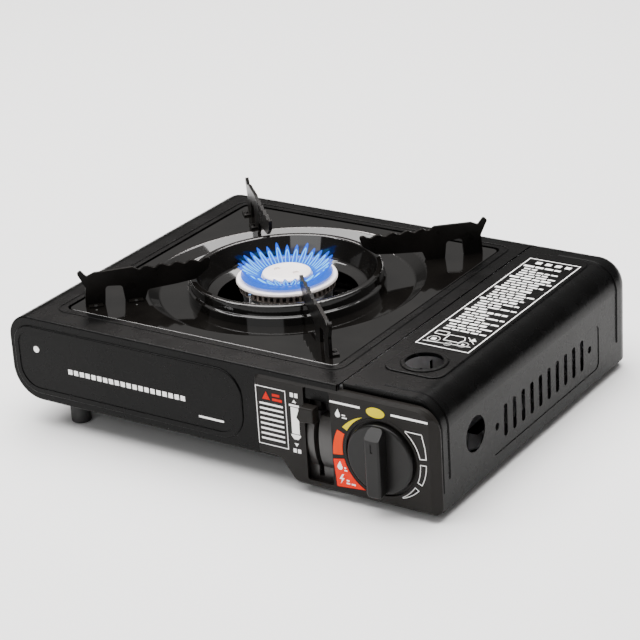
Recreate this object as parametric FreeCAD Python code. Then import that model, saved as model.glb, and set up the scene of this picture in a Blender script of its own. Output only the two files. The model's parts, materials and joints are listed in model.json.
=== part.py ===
import FreeCAD, Part
import math
import os

# Portable single-burner cassette stove. Millimetres, +Z up, front (knob side) towards -Y.
# The origin is on the ground, under the middle of the whole stove.

V = FreeCAD.Vector
X_DIR = V(1, 0, 0)
Y_DIR = V(0, 1, 0)
Z_DIR = V(0, 0, 1)

# ---- Driving dimensions ----
CASE_WIDTH = 342.0
CASE_DEPTH = 274.0
KNOB_PROUD = 12.0
TOP_Z = 82.0
POT_REST_Z = 106.0
SHEET = 0.8
BRACKET_SHEET = 1.2
GAP = 0.4
RUN_FIT = 0.05

LEFT_X = -CASE_WIDTH / 2
RIGHT_X = CASE_WIDTH / 2
FASCIA_Y = -(CASE_DEPTH + KNOB_PROUD) / 2 + KNOB_PROUD
BACK_Y = FASCIA_Y + CASE_DEPTH

# Case: the burner side is shallower than the cartridge side.
LOW_Z = 6.0
HIGH_Z = 20.0
FLOOR_Z = LOW_Z + SHEET
TOP_LEFT_R = 17.0
LOW_LEFT_R = 23.0
BACK_R = 15.0
STEP_X0 = 50.0
STEP_X1 = 69.0
SPLIT_X = 98.7
REAR_WALL_Y = BACK_Y - BACK_R - 1.0
LEFT_FEET = [(LEFT_X + 40, FASCIA_Y + 21), (LEFT_X + 40, BACK_Y - 24)]
RIGHT_FEET = [(153, FASCIA_Y + 26), (153, BACK_Y - 24)]
FOOT_R = 7.0
FOOT_STEM_R = 2.5

# Front panel, with a raised pad that has a shallow sunk face.
FRONT_Y = FASCIA_Y + 1.5
FRONT_THICK = 1.6
PAD_PROUD = 1.0
PAD_RIGHT_X = 24.0
PAD_RIM = 4.0
FRONT_PANEL_END_X = SPLIT_X - 1.2
FRONT_PANEL_LIP = 14.0

# Burner and the plate round it.
BURNER_X = -28.0
BURNER_Y = FASCIA_Y + 136.0
BURNER_R = 36.0
BURNER_TOP_Z = 84.5
HUB_R = 17.3
HUB_LOW_Z = 80.5
HUB_TOP_Z = BURNER_TOP_Z + 3.2
BURNER_FLOOR_Z = 54.0
FLAME_PORTS = 28
SLOT_RING_R = 34.0
SLOT_RING_TEETH = 48
PLATE_SIDE = 219.0
PLATE_Z = 81.5
PLATE_T = 0.8
WELL_SIDE = 222.0
WELL_DEPTH = 2.6
LEDGE = 8.0
DISH_R = 99.0
DISH_FLOOR_R = 90.0
DISH_Z = 75.5
PLATE_HOLE_R = 61.5
THROAT_R = 57.5
RING_R = 68.0
RING_RIM_Z = 89.5
SUPPORT_T = 2.4
SUPPORT_TABS = ((102.5, 112.5), (130.5, 140.5))
SUPPORT_TAB_T = 1.2

# Gas line: regulator outlet, pipe, injector and mixing tube.
PIPE_Y = FASCIA_Y + 62
PIPE_Z = 60.0
PIPE_R = 3.0
INJECTOR_X0 = 80.0
INJECTOR_X1 = 88.0
TUBE_R = 8.0
TUBE_WALL = 1.2
TUBE_START = V(74, PIPE_Y, PIPE_Z)

# Cartridge bay and its lid.
CART_X = 134.5
CART_Z = 44.0
CART_R = 33.5
LID_X = 100.0
LID_FRONT_Y = FASCIA_Y + 5.8
LID_R = 20.0
LID_FLANGE = 4.6
LID_EAR_T = 1.2
LID_PAD_Z = TOP_Z + 0.9
LID_EYE_X = 131.5
LID_EYE_Y = FASCIA_Y + 54
LID_EYE_R = 12.8
LID_COLLAR_R = 15.8
LID_COLLAR_Z = TOP_Z + 1.8
LID_SIDE_HOLE_R = 12.2
LID_SLOTS = 10
LID_SLOT_PITCH = 12.15
LID_SLOT_Y0 = FASCIA_Y + 89.5
LID_SLOT_HALF = 2.4
HINGE_X = 103.6
HINGE_Z = 78.0
HINGE_EAR_R = 2.7
HINGE_PIN_R = 1.25

# Ribs pressed into the lid: first x, front y, back y and lowest z of each.
RIB_H = 0.8
LID_SIDE_X = RIGHT_X - RIB_H
LID_RIBS = ((109.0, LID_FRONT_Y + 0.6, LID_FRONT_Y + 3.4, 20.0),
            (126.0, FASCIA_Y + 14.5, FASCIA_Y + 19.0, 27.0),
            (126.0, BACK_Y - 23.0, BACK_Y - 18.5, 24.0))

# Control front: fascia, the bracket behind it, the lever's slot and the knob.
FASCIA_DEPTH = 5.2
FASCIA_WALL = 2.2
FLAT_END_X = 165.0
SLOT_X0 = 73.0
SLOT_X1 = 93.0
SLOT_Z0 = 10.5
SLOT_Z1 = 76.5
BRACKET_Y = FASCIA_Y + 8.2
LID_EAR_YS = (BRACKET_Y + BRACKET_SHEET + GAP, REAR_WALL_Y - GAP - LID_EAR_T)
KNOB_X = 130.0
KNOB_Z = 38.5
KNOB_R = 24.0
KNOB_TURN = 145.0
GRIP_HALF = 5.4
GRIP_REACH = KNOB_R - 0.8
GRIP_SLOPE = 7.0
SPINDLE_R = 4.0

# Lever: it turns about a pin along X and pulls the cartridge carrier forward.
LEVER_X = 80.3
LEVER_T = 2.8
LEVER_SWING = 50.0
PIVOT_Y = FASCIA_Y + 43.0
PIVOT_Z = 38.0
PIVOT_R = 2.5
CRANK_H = 9.0
CRANK_PIN_R = 2.0

# Regulator.
REG_Y0 = FASCIA_Y + 16
REG_Y1 = FASCIA_Y + 39
REG_X = CART_X - 2
REG_Z = KNOB_Z + 2.5
REG_R = 22.0
REG_SCREW_X = CART_X + 10.5
REG_SCREW_ZS = (KNOB_Z - 14, KNOB_Z + 16)
REG_SCREW_R = 1.4
OUTLET_X = CART_X - 20
OUTLET_Z = PIPE_Z - 8

# Ignition.
IGNITER_Z = 64.2
PLUNGER_R = 2.2
PLUNGER_Y = FASCIA_Y + 13
PLUNGER_FOOT_Z = KNOB_Z + 15.5
CAM_LOBE = 14.0
SPARK_X = BURNER_X - 5
SPARK_Y = BURNER_Y - 39
LEAD_R = 1.3
LEAD_HOLE_X = SPLIT_X - 2.2
LEAD_HOLE_Y = FASCIA_Y + 73
LEAD_HOLE_Z = 58.5


# ---- Helpers ----
def box(x0, x1, y0, y1, z0, z1):
    return Part.makeBox(x1 - x0, y1 - y0, z1 - z0, V(x0, y0, z0))


def cyl(r, start, direction, length):
    return Part.makeCylinder(r, length, start, direction)


def tube(r_out, r_in, start, direction, length):
    return cyl(r_out, start, direction, length).cut(cyl(r_in, start, direction, length))


def rounded_rect(cx, cy, z, sx, sy, r):
    """A wire in a horizontal plane: a rectangle with corner radius r."""
    hx = sx / 2
    hy = sy / 2
    edges = []
    k = r * (1 - math.sqrt(0.5))
    corners = [(1, 1), (-1, 1), (-1, -1), (1, -1)]
    last = V(cx + hx, cy - hy + r, z)
    for ux, uy in corners:
        first_on_x = ux * uy > 0
        a = V(cx + ux * hx, cy + uy * (hy - r), z) if first_on_x else V(cx + ux * (hx - r), cy + uy * hy, z)
        b = V(cx + ux * (hx - r), cy + uy * hy, z) if first_on_x else V(cx + ux * hx, cy + uy * (hy - r), z)
        mid = V(cx + ux * (hx - k), cy + uy * (hy - k), z)
        edges.append(Part.makeLine(last, a))
        edges.append(Part.Arc(a, mid, b).toShape())
        last = b
    return Part.Wire(edges)


def rounded_slab(cx, cy, z0, z1, sx, sy, r):
    return Part.Face(rounded_rect(cx, cy, z0, sx, sy, r)).extrude(V(0, 0, z1 - z0))


def corner_path(points):
    """Straight runs with rounded corners. Each point is (u, v, radius)."""
    count = len(points)
    cuts = []
    for i in range(count):
        here = V(points[i][0], points[i][1], 0)
        before = V(points[i - 1][0], points[i - 1][1], 0)
        after = V(points[(i + 1) % count][0], points[(i + 1) % count][1], 0)
        r = points[i][2]
        if r == 0:
            cuts.append((here, None, here))
            continue
        d0 = before.sub(here).normalize()
        d1 = after.sub(here).normalize()
        half = d0.getAngle(d1) / 2
        reach = r / math.tan(half)
        middle = d0.add(d1).normalize()
        arc_mid = here + middle * (r / math.sin(half) - r)
        cuts.append((here + d0 * reach, arc_mid, here + d1 * reach))
    return cuts


def profile_wire(points, place):
    """A closed wire of runs and arcs; place turns (u, v) into a point in space."""
    cuts = corner_path(points)
    edges = []
    for i, (a, mid, b) in enumerate(cuts):
        if mid is not None:
            edges.append(Part.Arc(place(a), place(mid), place(b)).toShape())
        c = cuts[(i + 1) % len(cuts)][0]
        if b.sub(c).Length > 1e-6:
            edges.append(Part.makeLine(place(b), place(c)))
    return Part.Wire(edges)


def xz_prism(points, y0, y1):
    """A front-view outline, given as (x, z, radius), carried from y0 to y1."""
    wire = profile_wire(points, lambda p: V(p.x, y0, p.y))
    return Part.Face(wire).extrude(V(0, y1 - y0, 0))


def yz_prism(points, x0, x1):
    """A side-view outline, given as (y, z, radius), carried from x0 to x1."""
    wire = profile_wire(points, lambda p: V(x0, p.x, p.y))
    return Part.Face(wire).extrude(V(x1 - x0, 0, 0))


def turned(points, cx, cy):
    """A solid of revolution about the vertical line through (cx, cy); points are (r, z, radius)."""
    wire = profile_wire(points, lambda p: V(cx + p.x, cy, p.y))
    return Part.Face(wire).revolve(V(cx, cy, 0), Z_DIR, 360)


def pick_edges(shape, keep):
    return [e for e in shape.Edges if keep(e)]


def edges_at_y(shape, y, skip_x=None):
    def keep(e):
        b = e.BoundBox
        if abs(b.YMin - y) > 1e-3 or abs(b.YMax - y) > 1e-3:
            return False
        return skip_x is None or abs(b.XMin - skip_x) > 1e-3 or abs(b.XMax - skip_x) > 1e-3
    return pick_edges(shape, keep)


def one(shape):
    """The biggest solid of a shape that should be a single piece."""
    solids = sorted(shape.Solids, key=lambda s: s.Volume)
    return solids[-1]


def group(solids):
    return Part.makeCompound(solids)


def around(shape, cx, cy, angle):
    copy = shape.copy()
    copy.rotate(V(cx, cy, 0), Z_DIR, angle)
    return copy


def pan_head_screw(tip, direction, length, r=1.5):
    """A screw whose shaft ends at tip; direction points from the tip to the head."""
    shaft = cyl(r, tip, direction, length)
    head_at = tip + direction * length
    head = cyl(r * 2, head_at, direction, r * 1.2)
    rim = [e for e in head.Edges if abs(e.BoundBox.Center.sub(head_at).dot(direction)) > r]
    head = head.makeFillet(r * 0.7, rim)
    slot = cyl(r * 0.9, head_at + direction * (r * 0.7), direction, r)
    return one(shaft.fuse(head).cut(slot))


NODES = {}


def add(name, shape):
    NODES[name] = shape


# ---- Case ----
def burner_side_block(inset, y0, y1, back_r):
    """The rounded block of the burner side, made smaller all round by inset."""
    x0 = LEFT_X + inset
    x1 = SPLIT_X + (20 if inset else 0)
    points = [(x1, TOP_Z - inset, 0), (x0, TOP_Z - inset, TOP_LEFT_R - inset),
              (x0, HIGH_Z + inset, LOW_LEFT_R - inset), (x1, HIGH_Z + inset, 0)]
    block = xz_prism(points, y0, y1)
    return block.makeFillet(back_r, edges_at_y(block, y1, x1))


def well_outline(z0, z1, side, r):
    return rounded_slab(BURNER_X, BURNER_Y, z0, z1, side, side, r)


def top_shell():
    y0 = FRONT_Y + FRONT_THICK + GAP / 2
    shell = burner_side_block(0, y0, BACK_Y, BACK_R)
    shell = shell.cut(burner_side_block(SHEET, y0 - 5, BACK_Y - SHEET, BACK_R - SHEET))
    shell = shell.cut(box(LEFT_X + 31, SPLIT_X + 30, y0 - 1, BACK_Y - BACK_R - 1, HIGH_Z - 5, HIGH_Z + 5))
    shell = shell.cut(box(STEP_X0 - 1, SPLIT_X + 30, BACK_Y - 40, BACK_Y + 1, HIGH_Z - 5, HIGH_Z + 3))
    bead = well_outline(TOP_Z - 0.1, TOP_Z + 0.5, WELL_SIDE + 12, 10)
    bead = bead.cut(well_outline(TOP_Z - 1, TOP_Z + 1, WELL_SIDE + 8.5, 8.5))
    bead = bead.makeFillet(0.4, [e for e in bead.Edges if e.BoundBox.ZMin > TOP_Z + 0.4])
    floor_z = TOP_Z - WELL_DEPTH
    well = well_outline(floor_z - SHEET, TOP_Z - SHEET / 2, WELL_SIDE + 2 * SHEET, 6 + SHEET)
    well = well.fuse(bead)
    shell = shell.fuse(well)
    shell = shell.cut(well_outline(floor_z, TOP_Z + 5, WELL_SIDE, 6))
    shell = shell.cut(well_outline(floor_z - 5, TOP_Z, WELL_SIDE - 2 * LEDGE, 12))
    for row in range(2):
        for i in range(6):
            x = BURNER_X - 50 + 20 * i
            z = 40 + 16 * row
            shell = shell.cut(box(x - 6, x + 6, BACK_Y - 5, BACK_Y + 5, z, z + 4))
    for i in range(8):
        y = BURNER_Y - 63 + 18 * i
        shell = shell.cut(box(LEFT_X - 5, LEFT_X + 5, y - 2, y + 2, 48, 60))
    return one(shell)


def pad_outline(inset):
    """The front panel's pad, made smaller all round by inset."""
    left = LEFT_X + 4 + inset
    right = PAD_RIGHT_X - inset
    low = HIGH_Z + 5.5 + inset
    high = TOP_Z - 6 - inset
    wide_r = 19 - inset * 7 / 8
    return [(right, high, wide_r), (left, high, wide_r - 4), (left, low, wide_r), (right, low, wide_r)]


def front_panel():
    edge_x = STEP_X1 - 4
    lip_z = TOP_Z - FRONT_PANEL_LIP
    outline = [(FRONT_PANEL_END_X, TOP_Z, 0), (LEFT_X, TOP_Z, TOP_LEFT_R), (LEFT_X, HIGH_Z, LOW_LEFT_R),
               (STEP_X0, HIGH_Z, 0), (edge_x, HIGH_Z, 0), (edge_x, lip_z, 0), (FRONT_PANEL_END_X, lip_z, 0)]
    panel = xz_prism(outline, FRONT_Y, FRONT_Y + FRONT_THICK)
    rim = [e for e in edges_at_y(panel, FRONT_Y) if e.BoundBox.XMin < STEP_X0 and e.BoundBox.XMax < SPLIT_X]
    panel = panel.makeFillet(1.2, rim)
    pad = xz_prism(pad_outline(0), FRONT_Y - PAD_PROUD, FRONT_Y + 0.5)
    pad = pad.makeFillet(0.9, edges_at_y(pad, FRONT_Y - PAD_PROUD))
    dent = xz_prism(pad_outline(PAD_RIM), FRONT_Y - PAD_PROUD - 1, FRONT_Y - PAD_PROUD + 0.5)
    return one(panel.fuse(pad).cut(dent))


def base_line(offset):
    """The stepped underside, raised by offset: shallow on the left, deep on the right."""
    high = HIGH_Z + SHEET + 0.2 + offset
    low = LOW_Z + offset
    step = offset / 2
    return [(LEFT_X + 24.5, high, 0), (STEP_X0 + 2 + step, high, 6), (STEP_X1 - 2 + step, low, 6)]


def base_pan():
    low = base_line(0)
    high = base_line(SHEET)
    right = RIGHT_X - SHEET - 2
    wall = 14
    points = low + [(right, LOW_Z, 3), (right, LOW_Z + wall, 0), (right - SHEET, LOW_Z + wall, 0),
                    (right - SHEET, LOW_Z + SHEET, 3 - SHEET)] + list(reversed(high))
    y0 = FRONT_Y + FRONT_THICK + 4
    y1 = BACK_Y - SHEET - GAP - 1.4
    pan = xz_prism(points, y0, y1)
    flange = box(STEP_X1 - 3, SPLIT_X - 1, y1 - SHEET, y1, LOW_Z + SHEET / 2, HIGH_Z + 6)
    pan = pan.fuse(flange)
    pan = pan.common(rounded_slab(0, (y0 + y1) / 2 - 20, 0, TOP_Z, 2 * right, y1 - y0 + 40, BACK_R - 2))
    pan = pan.cut(box(LEFT_X, STEP_X0 + 3, BACK_Y - BACK_R - 1.5, BACK_Y, LOW_Z, TOP_Z))
    for i in range(5):
        x = BURNER_X - 40 + 20 * i
        pan = pan.cut(rounded_slab(x, BURNER_Y, HIGH_Z - 5, HIGH_Z + 5, 6, 70, 2.9))
    for x, y in LEFT_FEET:
        pan = pan.cut(cyl(FOOT_STEM_R + 0.1, V(x, y, HIGH_Z - 5), Z_DIR, 10))
    for x, y in RIGHT_FEET:
        pan = pan.cut(cyl(FOOT_STEM_R + 0.1, V(x, y, LOW_Z - 5), Z_DIR, 10))
    return one(pan)


def foot(x, y, under_z):
    height = under_z - 0.3
    shank = cyl(FOOT_R, V(x, y, 0), Z_DIR, height)
    shank = shank.makeFillet(1.2, [e for e in shank.Edges if e.BoundBox.ZMax < 0.1])
    stem = cyl(FOOT_STEM_R, V(x, y, height - 1), Z_DIR, 4.2)
    barb = Part.makeCone(3.4, 2.2, 2.0, V(x, y, under_z + SHEET + 0.7), Z_DIR)
    return one(shank.fuse(stem).fuse(barb))


def feet_left():
    return group([foot(x, y, HIGH_Z + SHEET) for x, y in LEFT_FEET])


def feet_right():
    return group([foot(x, y, LOW_Z) for x, y in RIGHT_FEET])


def partition():
    """The upright sheet between the burner and the cartridge, with a slot for the carrier's arm."""
    x = SPLIT_X - 2.6
    y0 = FRONT_Y + 6
    y1 = REAR_WALL_Y
    wall = box(x, x + SHEET, y0, y1, FLOOR_Z + 0.2, TOP_Z - SHEET - 0.2)
    foot_flange = box(x - 10, x + SHEET, y0 + 60, y1, FLOOR_Z + 0.2, LOW_Z + 2 * SHEET + 0.2)
    wall = wall.fuse(foot_flange)
    wall = wall.cut(box(x - 2, x + 3, PIVOT_Y - 12, PIVOT_Y + 12, PIVOT_Z + 2, PIVOT_Z + 16))
    wall = wall.cut(cyl(5.0, V(x - 2, PIPE_Y, PIPE_Z), X_DIR, 6))
    wall = wall.cut(cyl(4.0, V(x - 2, LEAD_HOLE_Y, LEAD_HOLE_Z), X_DIR, 6))
    for i in range(9):
        y = BURNER_Y - 30 + 14 * i
        wall = wall.cut(box(x - 2, x + 3, y - 2, y + 2, 22, 50))
    return one(wall)


def hinge_ear(sheet, y, thick):
    """Gives an upright sheet a rounded ear with the hinge pin's hole."""
    ear = cyl(HINGE_EAR_R, V(HINGE_X, y, HINGE_Z), Y_DIR, thick)
    neck = box(HINGE_X - HINGE_EAR_R, HINGE_X + HINGE_EAR_R, y, y + thick, HINGE_Z - 8, HINGE_Z)
    sheet = sheet.fuse([ear, neck])
    return sheet.cut(cyl(HINGE_PIN_R, V(HINGE_X, y - 1, HINGE_Z), Y_DIR, thick + 2))


def bay_rear_wall():
    y = REAR_WALL_Y
    left = HINGE_X - HINGE_EAR_R
    right = RIGHT_X - 3.6
    top = TOP_Z - 4.2
    points = [(right, LOW_Z + 1.2, 2), (right, top, 17), (left, top, 0), (left, LOW_Z + 1.2, 0)]
    return one(hinge_ear(xz_prism(points, y, y + SHEET), y, SHEET))


def cartridge_cradle():
    """The curved tray under the cartridge, standing on two straight legs."""
    y0 = FASCIA_Y + 80
    length = REAR_WALL_Y - 1 - y0
    r_in = CART_R + 0.8
    arc = tube(r_in + 1.0, r_in, V(CART_X, y0, CART_Z), Y_DIR, length)
    low_z = FLOOR_Z
    half = 27.0
    arc = arc.common(box(CART_X - half, CART_X + half, y0, y0 + length, low_z, CART_Z))
    legs = []
    for side in (-1, 1):
        x = CART_X + side * half
        leg = box(min(x, x - side), max(x, x - side), y0, y0 + length, low_z, CART_Z - 21.5)
        legs.append(leg)
    tray = arc.fuse(legs)
    for i in range(2):
        tray = tray.cut(box(CART_X - 5, CART_X + 5, y0 + 25 + 70 * i, y0 + 55 + 70 * i, 0, 20))
    return one(tray)


# ---- Lid ----
def lid_section(inset, y0, y1):
    """The lid's front-view shape; an inset shape is open towards the left and below."""
    x0 = LID_X - (20 if inset else 0)
    x1 = LID_SIDE_X - inset
    z0 = LOW_Z + 0.6 - (20 if inset else 0)
    points = [(x0, z0, 0), (x1, z0, 0), (x1, TOP_Z - inset, LID_R - inset), (x0, TOP_Z - inset, 0)]
    return xz_prism(points, y0, y1)


def lid_block(inset, y0, y1, back_r):
    block = lid_section(inset, y0, y1)
    x0 = block.BoundBox.XMin
    z0 = block.BoundBox.ZMin
    rim = [e for e in edges_at_y(block, y1, x0) if e.BoundBox.ZMax > z0 + 1]
    return block.makeFillet(back_r, rim)


def lid_rib(x_start, y0, y1, z_end):
    """A soft pressed rib that runs over the lid's top and down its side."""
    root = RIB_H + SHEET * 0.75
    top = TOP_Z + RIB_H
    bend = LID_R + RIB_H
    inner_x = RIGHT_X - root
    outline = [(x_start, top, 0), (RIGHT_X, top, bend), (RIGHT_X, z_end, 0), (inner_x, z_end - root, 0),
               (inner_x, top - root, bend - root), (x_start - root, top - root, 0)]
    rib = xz_prism(outline, y0, y1)
    # The chamfer runs on from each bend along the straight edges that meet it.
    bends = [e for y in (y0, y1) for e in edges_at_y(rib, y) if isinstance(e.Curve, Part.Circle)]
    return rib.makeChamfer(RIB_H * 0.8, bends)


def lid_pad():
    """The raised pad that carries the label."""
    pad = rounded_slab(LID_X + 31.3, FASCIA_Y + 142, TOP_Z - SHEET / 2, LID_PAD_Z, 43.5, 214, 9)
    return pad.makeFillet(0.8, [e for e in pad.Edges if e.BoundBox.ZMin > LID_PAD_Z - 0.1])


def lid_collar():
    """The raised rim round the view hole."""
    collar = cyl(LID_COLLAR_R, V(LID_EYE_X, LID_EYE_Y, TOP_Z), Z_DIR, LID_COLLAR_Z - TOP_Z)
    return collar.makeFillet(0.8, [e for e in collar.Edges if e.BoundBox.ZMin > LID_COLLAR_Z - 0.1])


def lid_side_vents():
    """Cutters for the lid's side: a shallow pressed field, a row of slots and a hole at each end."""
    first = LID_SLOT_Y0
    last = first + LID_SLOT_PITCH * (LID_SLOTS - 1)
    x0 = LID_SIDE_X - 5
    x1 = LID_SIDE_X + 5
    field = [(first - 19, 49, 5), (first - 19, 15.5, 5), (last + 25.15, 15.5, 5), (last + 25.15, 49, 5)]
    cutters = [yz_prism(field, LID_SIDE_X - 0.45, x1)]
    half = LID_SLOT_HALF
    for i in range(LID_SLOTS):
        y = first + LID_SLOT_PITCH * i
        cutters.append(yz_prism([(y - half, 46, 2.3), (y - half, 23, 2.3), (y + half, 23, 2.3),
                                 (y + half, 46, 2.3)], x0, x1))
    for y in (first - 11.5, last + 11.65):
        cutters.append(cyl(2.6, V(x0, y, 34.5), X_DIR, x1 - x0))
    return cutters


def lid_ear(y):
    """A small ear under the lid's top; the hinge pin goes through it."""
    low = HINGE_Z - HINGE_EAR_R
    ear = box(HINGE_X - HINGE_EAR_R, HINGE_X + 7, y, y + LID_EAR_T, low, TOP_Z - SHEET / 2)
    low_edges = [e for e in ear.Edges if e.BoundBox.ZMax < HINGE_Z and abs(e.tangentAt(0).y) > 0.9]
    return ear.makeFillet(1.0, low_edges)


def lid_lip():
    """The turned-in lower edge of the lid's side."""
    inner_x = LID_SIDE_X - SHEET - 1.2
    low = LOW_Z + 0.6
    high = LOW_Z + 6.5
    return xz_prism([(inner_x, high, 0), (inner_x, low, 0), (LID_SIDE_X, low, 0), (LID_SIDE_X, high, 0)],
                    LID_FRONT_Y + 20, BACK_Y - 20)


def cartridge_lid():
    lid = lid_block(0, LID_FRONT_Y, BACK_Y, BACK_R)
    lid = lid.fuse(lid_pad()).fuse(lid_collar())
    lid = lid.cut(lid_block(SHEET, LID_FRONT_Y - 5, BACK_Y - SHEET, BACK_R - SHEET))
    lid = lid.cut(cyl(LID_EYE_R, V(LID_EYE_X, LID_EYE_Y, TOP_Z - 5), Z_DIR, 12))
    lid = lid.cut(cyl(LID_SIDE_HOLE_R, V(LID_SIDE_X - 5, FASCIA_Y + 49, 42.5), X_DIR, 10))
    for cutter in lid_side_vents():
        lid = lid.cut(cutter)
    for y in LID_EAR_YS:
        lid = lid.fuse(lid_ear(y))
        lid = lid.cut(cyl(HINGE_PIN_R + RUN_FIT, V(HINGE_X, y - 1, HINGE_Z), Y_DIR, 4))
    for rib in LID_RIBS:
        lid = lid.fuse(lid_rib(*rib))
    flange = lid_section(0, LID_FRONT_Y, LID_FRONT_Y + SHEET)
    flange = flange.cut(lid_section(LID_FLANGE, LID_FRONT_Y - 1, LID_FRONT_Y + 2))
    return one(lid.fuse(flange).fuse(lid_lip()))


def lid_hinge_pins():
    front = cyl(HINGE_PIN_R, V(HINGE_X, BRACKET_Y - 0.6, HINGE_Z), Y_DIR, 4.0)
    back = cyl(HINGE_PIN_R, V(HINGE_X, LID_EAR_YS[1] - 0.8, HINGE_Z), Y_DIR, 4.0)
    return group([front, back])


# ---- Control front ----
def fascia_outline(inset):
    top = TOP_Z - 3.6 - inset
    left = 34.5 + inset
    right = RIGHT_X - inset
    low = LOW_Z - 0.5 + inset
    step = HIGH_Z + 1 + inset
    return [(left, top, 4.5 - inset), (left, step, 2), (STEP_X0 + 1.5 + inset * 0.4, step, 9),
            (STEP_X1 - 6.5 + inset, low, 8), (right, low, 5 - inset), (right, top, 16 - inset)]


def end_bevel():
    """The slanting right-hand end of the fascia, seen from above as a triangle."""
    corners = [V(FLAT_END_X, FASCIA_Y, 0), V(RIGHT_X + 1, FASCIA_Y, 0), V(RIGHT_X + 1, FASCIA_Y + 5.0, 0)]
    face = Part.Face(Part.makePolygon(corners + corners[:1]))
    return face.extrude(V(0, 0, TOP_Z))


def control_fascia():
    y1 = FASCIA_Y + FASCIA_DEPTH
    face = xz_prism(fascia_outline(0), FASCIA_Y, y1)
    soft = [e for e in edges_at_y(face, FASCIA_Y) if e.BoundBox.ZMax > 40 or e.BoundBox.XMax > FLAT_END_X + 1]
    face = face.makeChamfer(2.0, soft)
    hollow = xz_prism(fascia_outline(FASCIA_WALL), FASCIA_Y + FASCIA_WALL, y1 + 1)
    solid_end = box(FLAT_END_X - 0.5, RIGHT_X, FASCIA_Y, y1 + 2, 0, TOP_Z)
    face = face.cut(hollow.cut(solid_end))
    face = face.cut(end_bevel())
    face = face.cut(box(30, SPLIT_X, FRONT_Y, y1 + 1, HIGH_Z - 0.3, TOP_Z + 1))
    face = face.cut(xz_prism([(SLOT_X0, SLOT_Z1, 1.5), (SLOT_X0, SLOT_Z0, 1.5), (SLOT_X1, SLOT_Z0, 1.5),
                              (SLOT_X1, SLOT_Z1, 1.5)], FASCIA_Y - 2, y1 + 2))
    ring = tube(KNOB_R + 3.4, KNOB_R + 2, V(KNOB_X, FASCIA_Y - 0.5, KNOB_Z), Y_DIR, 2.5)
    ring = ring.makeFillet(0.4, edges_at_y(ring, FASCIA_Y - 0.5))
    face = face.fuse(ring)
    face = face.cut(cyl(KNOB_R + 2, V(KNOB_X, FASCIA_Y - 2, KNOB_Z), Y_DIR, 3.2))
    face = face.cut(cyl(7.0, V(KNOB_X, FASCIA_Y - 2, KNOB_Z), Y_DIR, 20))
    return one(face)


def lever_shroud():
    """The box behind the lever slot: two curved cheeks with the lever's slot between them."""
    y0 = FASCIA_Y + 0.6
    y_back = FASCIA_Y + 20
    r = PIVOT_Y - (FASCIA_Y + 1.2)
    drum = cyl(r, V(SLOT_X0 + 0.3, PIVOT_Y, PIVOT_Z), X_DIR, SLOT_X1 - SLOT_X0 - 0.6)
    keep = box(SLOT_X0, SLOT_X1, y0, y_back, SLOT_Z0 + 0.3, 56)
    drum = drum.common(keep)
    top = box(SLOT_X0 + 0.3, SLOT_X1 - 0.3, FASCIA_Y + 12, y_back, 50, SLOT_Z1 - 0.3)
    shroud = drum.fuse(top)
    flange = box(SLOT_X0 - 6, SLOT_X1 + 1.5, FASCIA_Y + 5.6, FASCIA_Y + 7.4, SLOT_Z0 - 2, SLOT_Z1 + 0.5)
    flange = flange.cut(box(SLOT_X0 + 0.3, SLOT_X1 - 0.3, FASCIA_Y, FASCIA_Y + 8, 50, SLOT_Z1 - 0.3))
    shroud = shroud.fuse(flange)
    shroud = shroud.cut(box(SLOT_X0 + 3, SLOT_X1 - 3, FASCIA_Y + 14, y_back + 1, SLOT_Z0 + 3, SLOT_Z1 - 3))
    half = LEVER_T / 2 + 0.5
    track = box(LEVER_X - half, LEVER_X + half, FASCIA_Y - 1, y_back + 1, SLOT_Z0 + 1.2, SLOT_Z1 - 1)
    shroud = shroud.cut(track)
    return one(shroud)


def lever_bracket():
    """The U-shaped bracket that holds the lever's pin behind the shroud."""
    x0 = LEVER_X - 7
    x1 = LEVER_X + 7
    y0 = PIVOT_Y - 8
    y1 = PIVOT_Y + 8
    z0 = FLOOR_Z
    legs = [box(x0, x0 + BRACKET_SHEET, y0, y1, z0, PIVOT_Z + 5),
            box(x1 - BRACKET_SHEET, x1, y0, y1, z0, PIVOT_Z + 5)]
    floor = box(x0, x1, y0, y1, z0, z0 + BRACKET_SHEET)
    bracket = floor.fuse(legs)
    return one(bracket.cut(cyl(PIVOT_R, V(x0 - 1, PIVOT_Y, PIVOT_Z), X_DIR, 20)))


def lever_pin():
    pin = cyl(PIVOT_R, V(LEVER_X - 8, PIVOT_Y, PIVOT_Z), X_DIR, 16)
    return one(pin.makeChamfer(0.4, pin.Edges[:1]))


def lock_lever():
    x0 = LEVER_X - LEVER_T / 2
    x1 = LEVER_X + LEVER_T / 2
    tip_y = FASCIA_Y - 3.0
    hub = cyl(7.5, V(x0, PIVOT_Y, PIVOT_Z), X_DIR, LEVER_T)
    crank = box(x0, x1, PIVOT_Y - 3.5, PIVOT_Y + 3.5, PIVOT_Z, PIVOT_Z + 14)
    crank.rotate(V(0, PIVOT_Y, PIVOT_Z), X_DIR, -LEVER_SWING / 2)
    arm = box(x0, x1, tip_y, PIVOT_Y, PIVOT_Z - 3, PIVOT_Z + 3)
    arm.rotate(V(0, PIVOT_Y, PIVOT_Z), X_DIR, -LEVER_SWING / 2)
    plate = hub.fuse(crank).fuse(arm)
    slot_half = CRANK_PIN_R + 0.3
    slot = box(x0 - 1, x1 + 1, PIVOT_Y - slot_half, PIVOT_Y + slot_half, PIVOT_Z + 6, PIVOT_Z + 15)
    slot.rotate(V(0, PIVOT_Y, PIVOT_Z), X_DIR, -LEVER_SWING / 2)
    plate = plate.cut(slot)
    return one(plate.cut(cyl(PIVOT_R + RUN_FIT, V(x0 - 1, PIVOT_Y, PIVOT_Z), X_DIR, LEVER_T + 2)))


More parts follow.
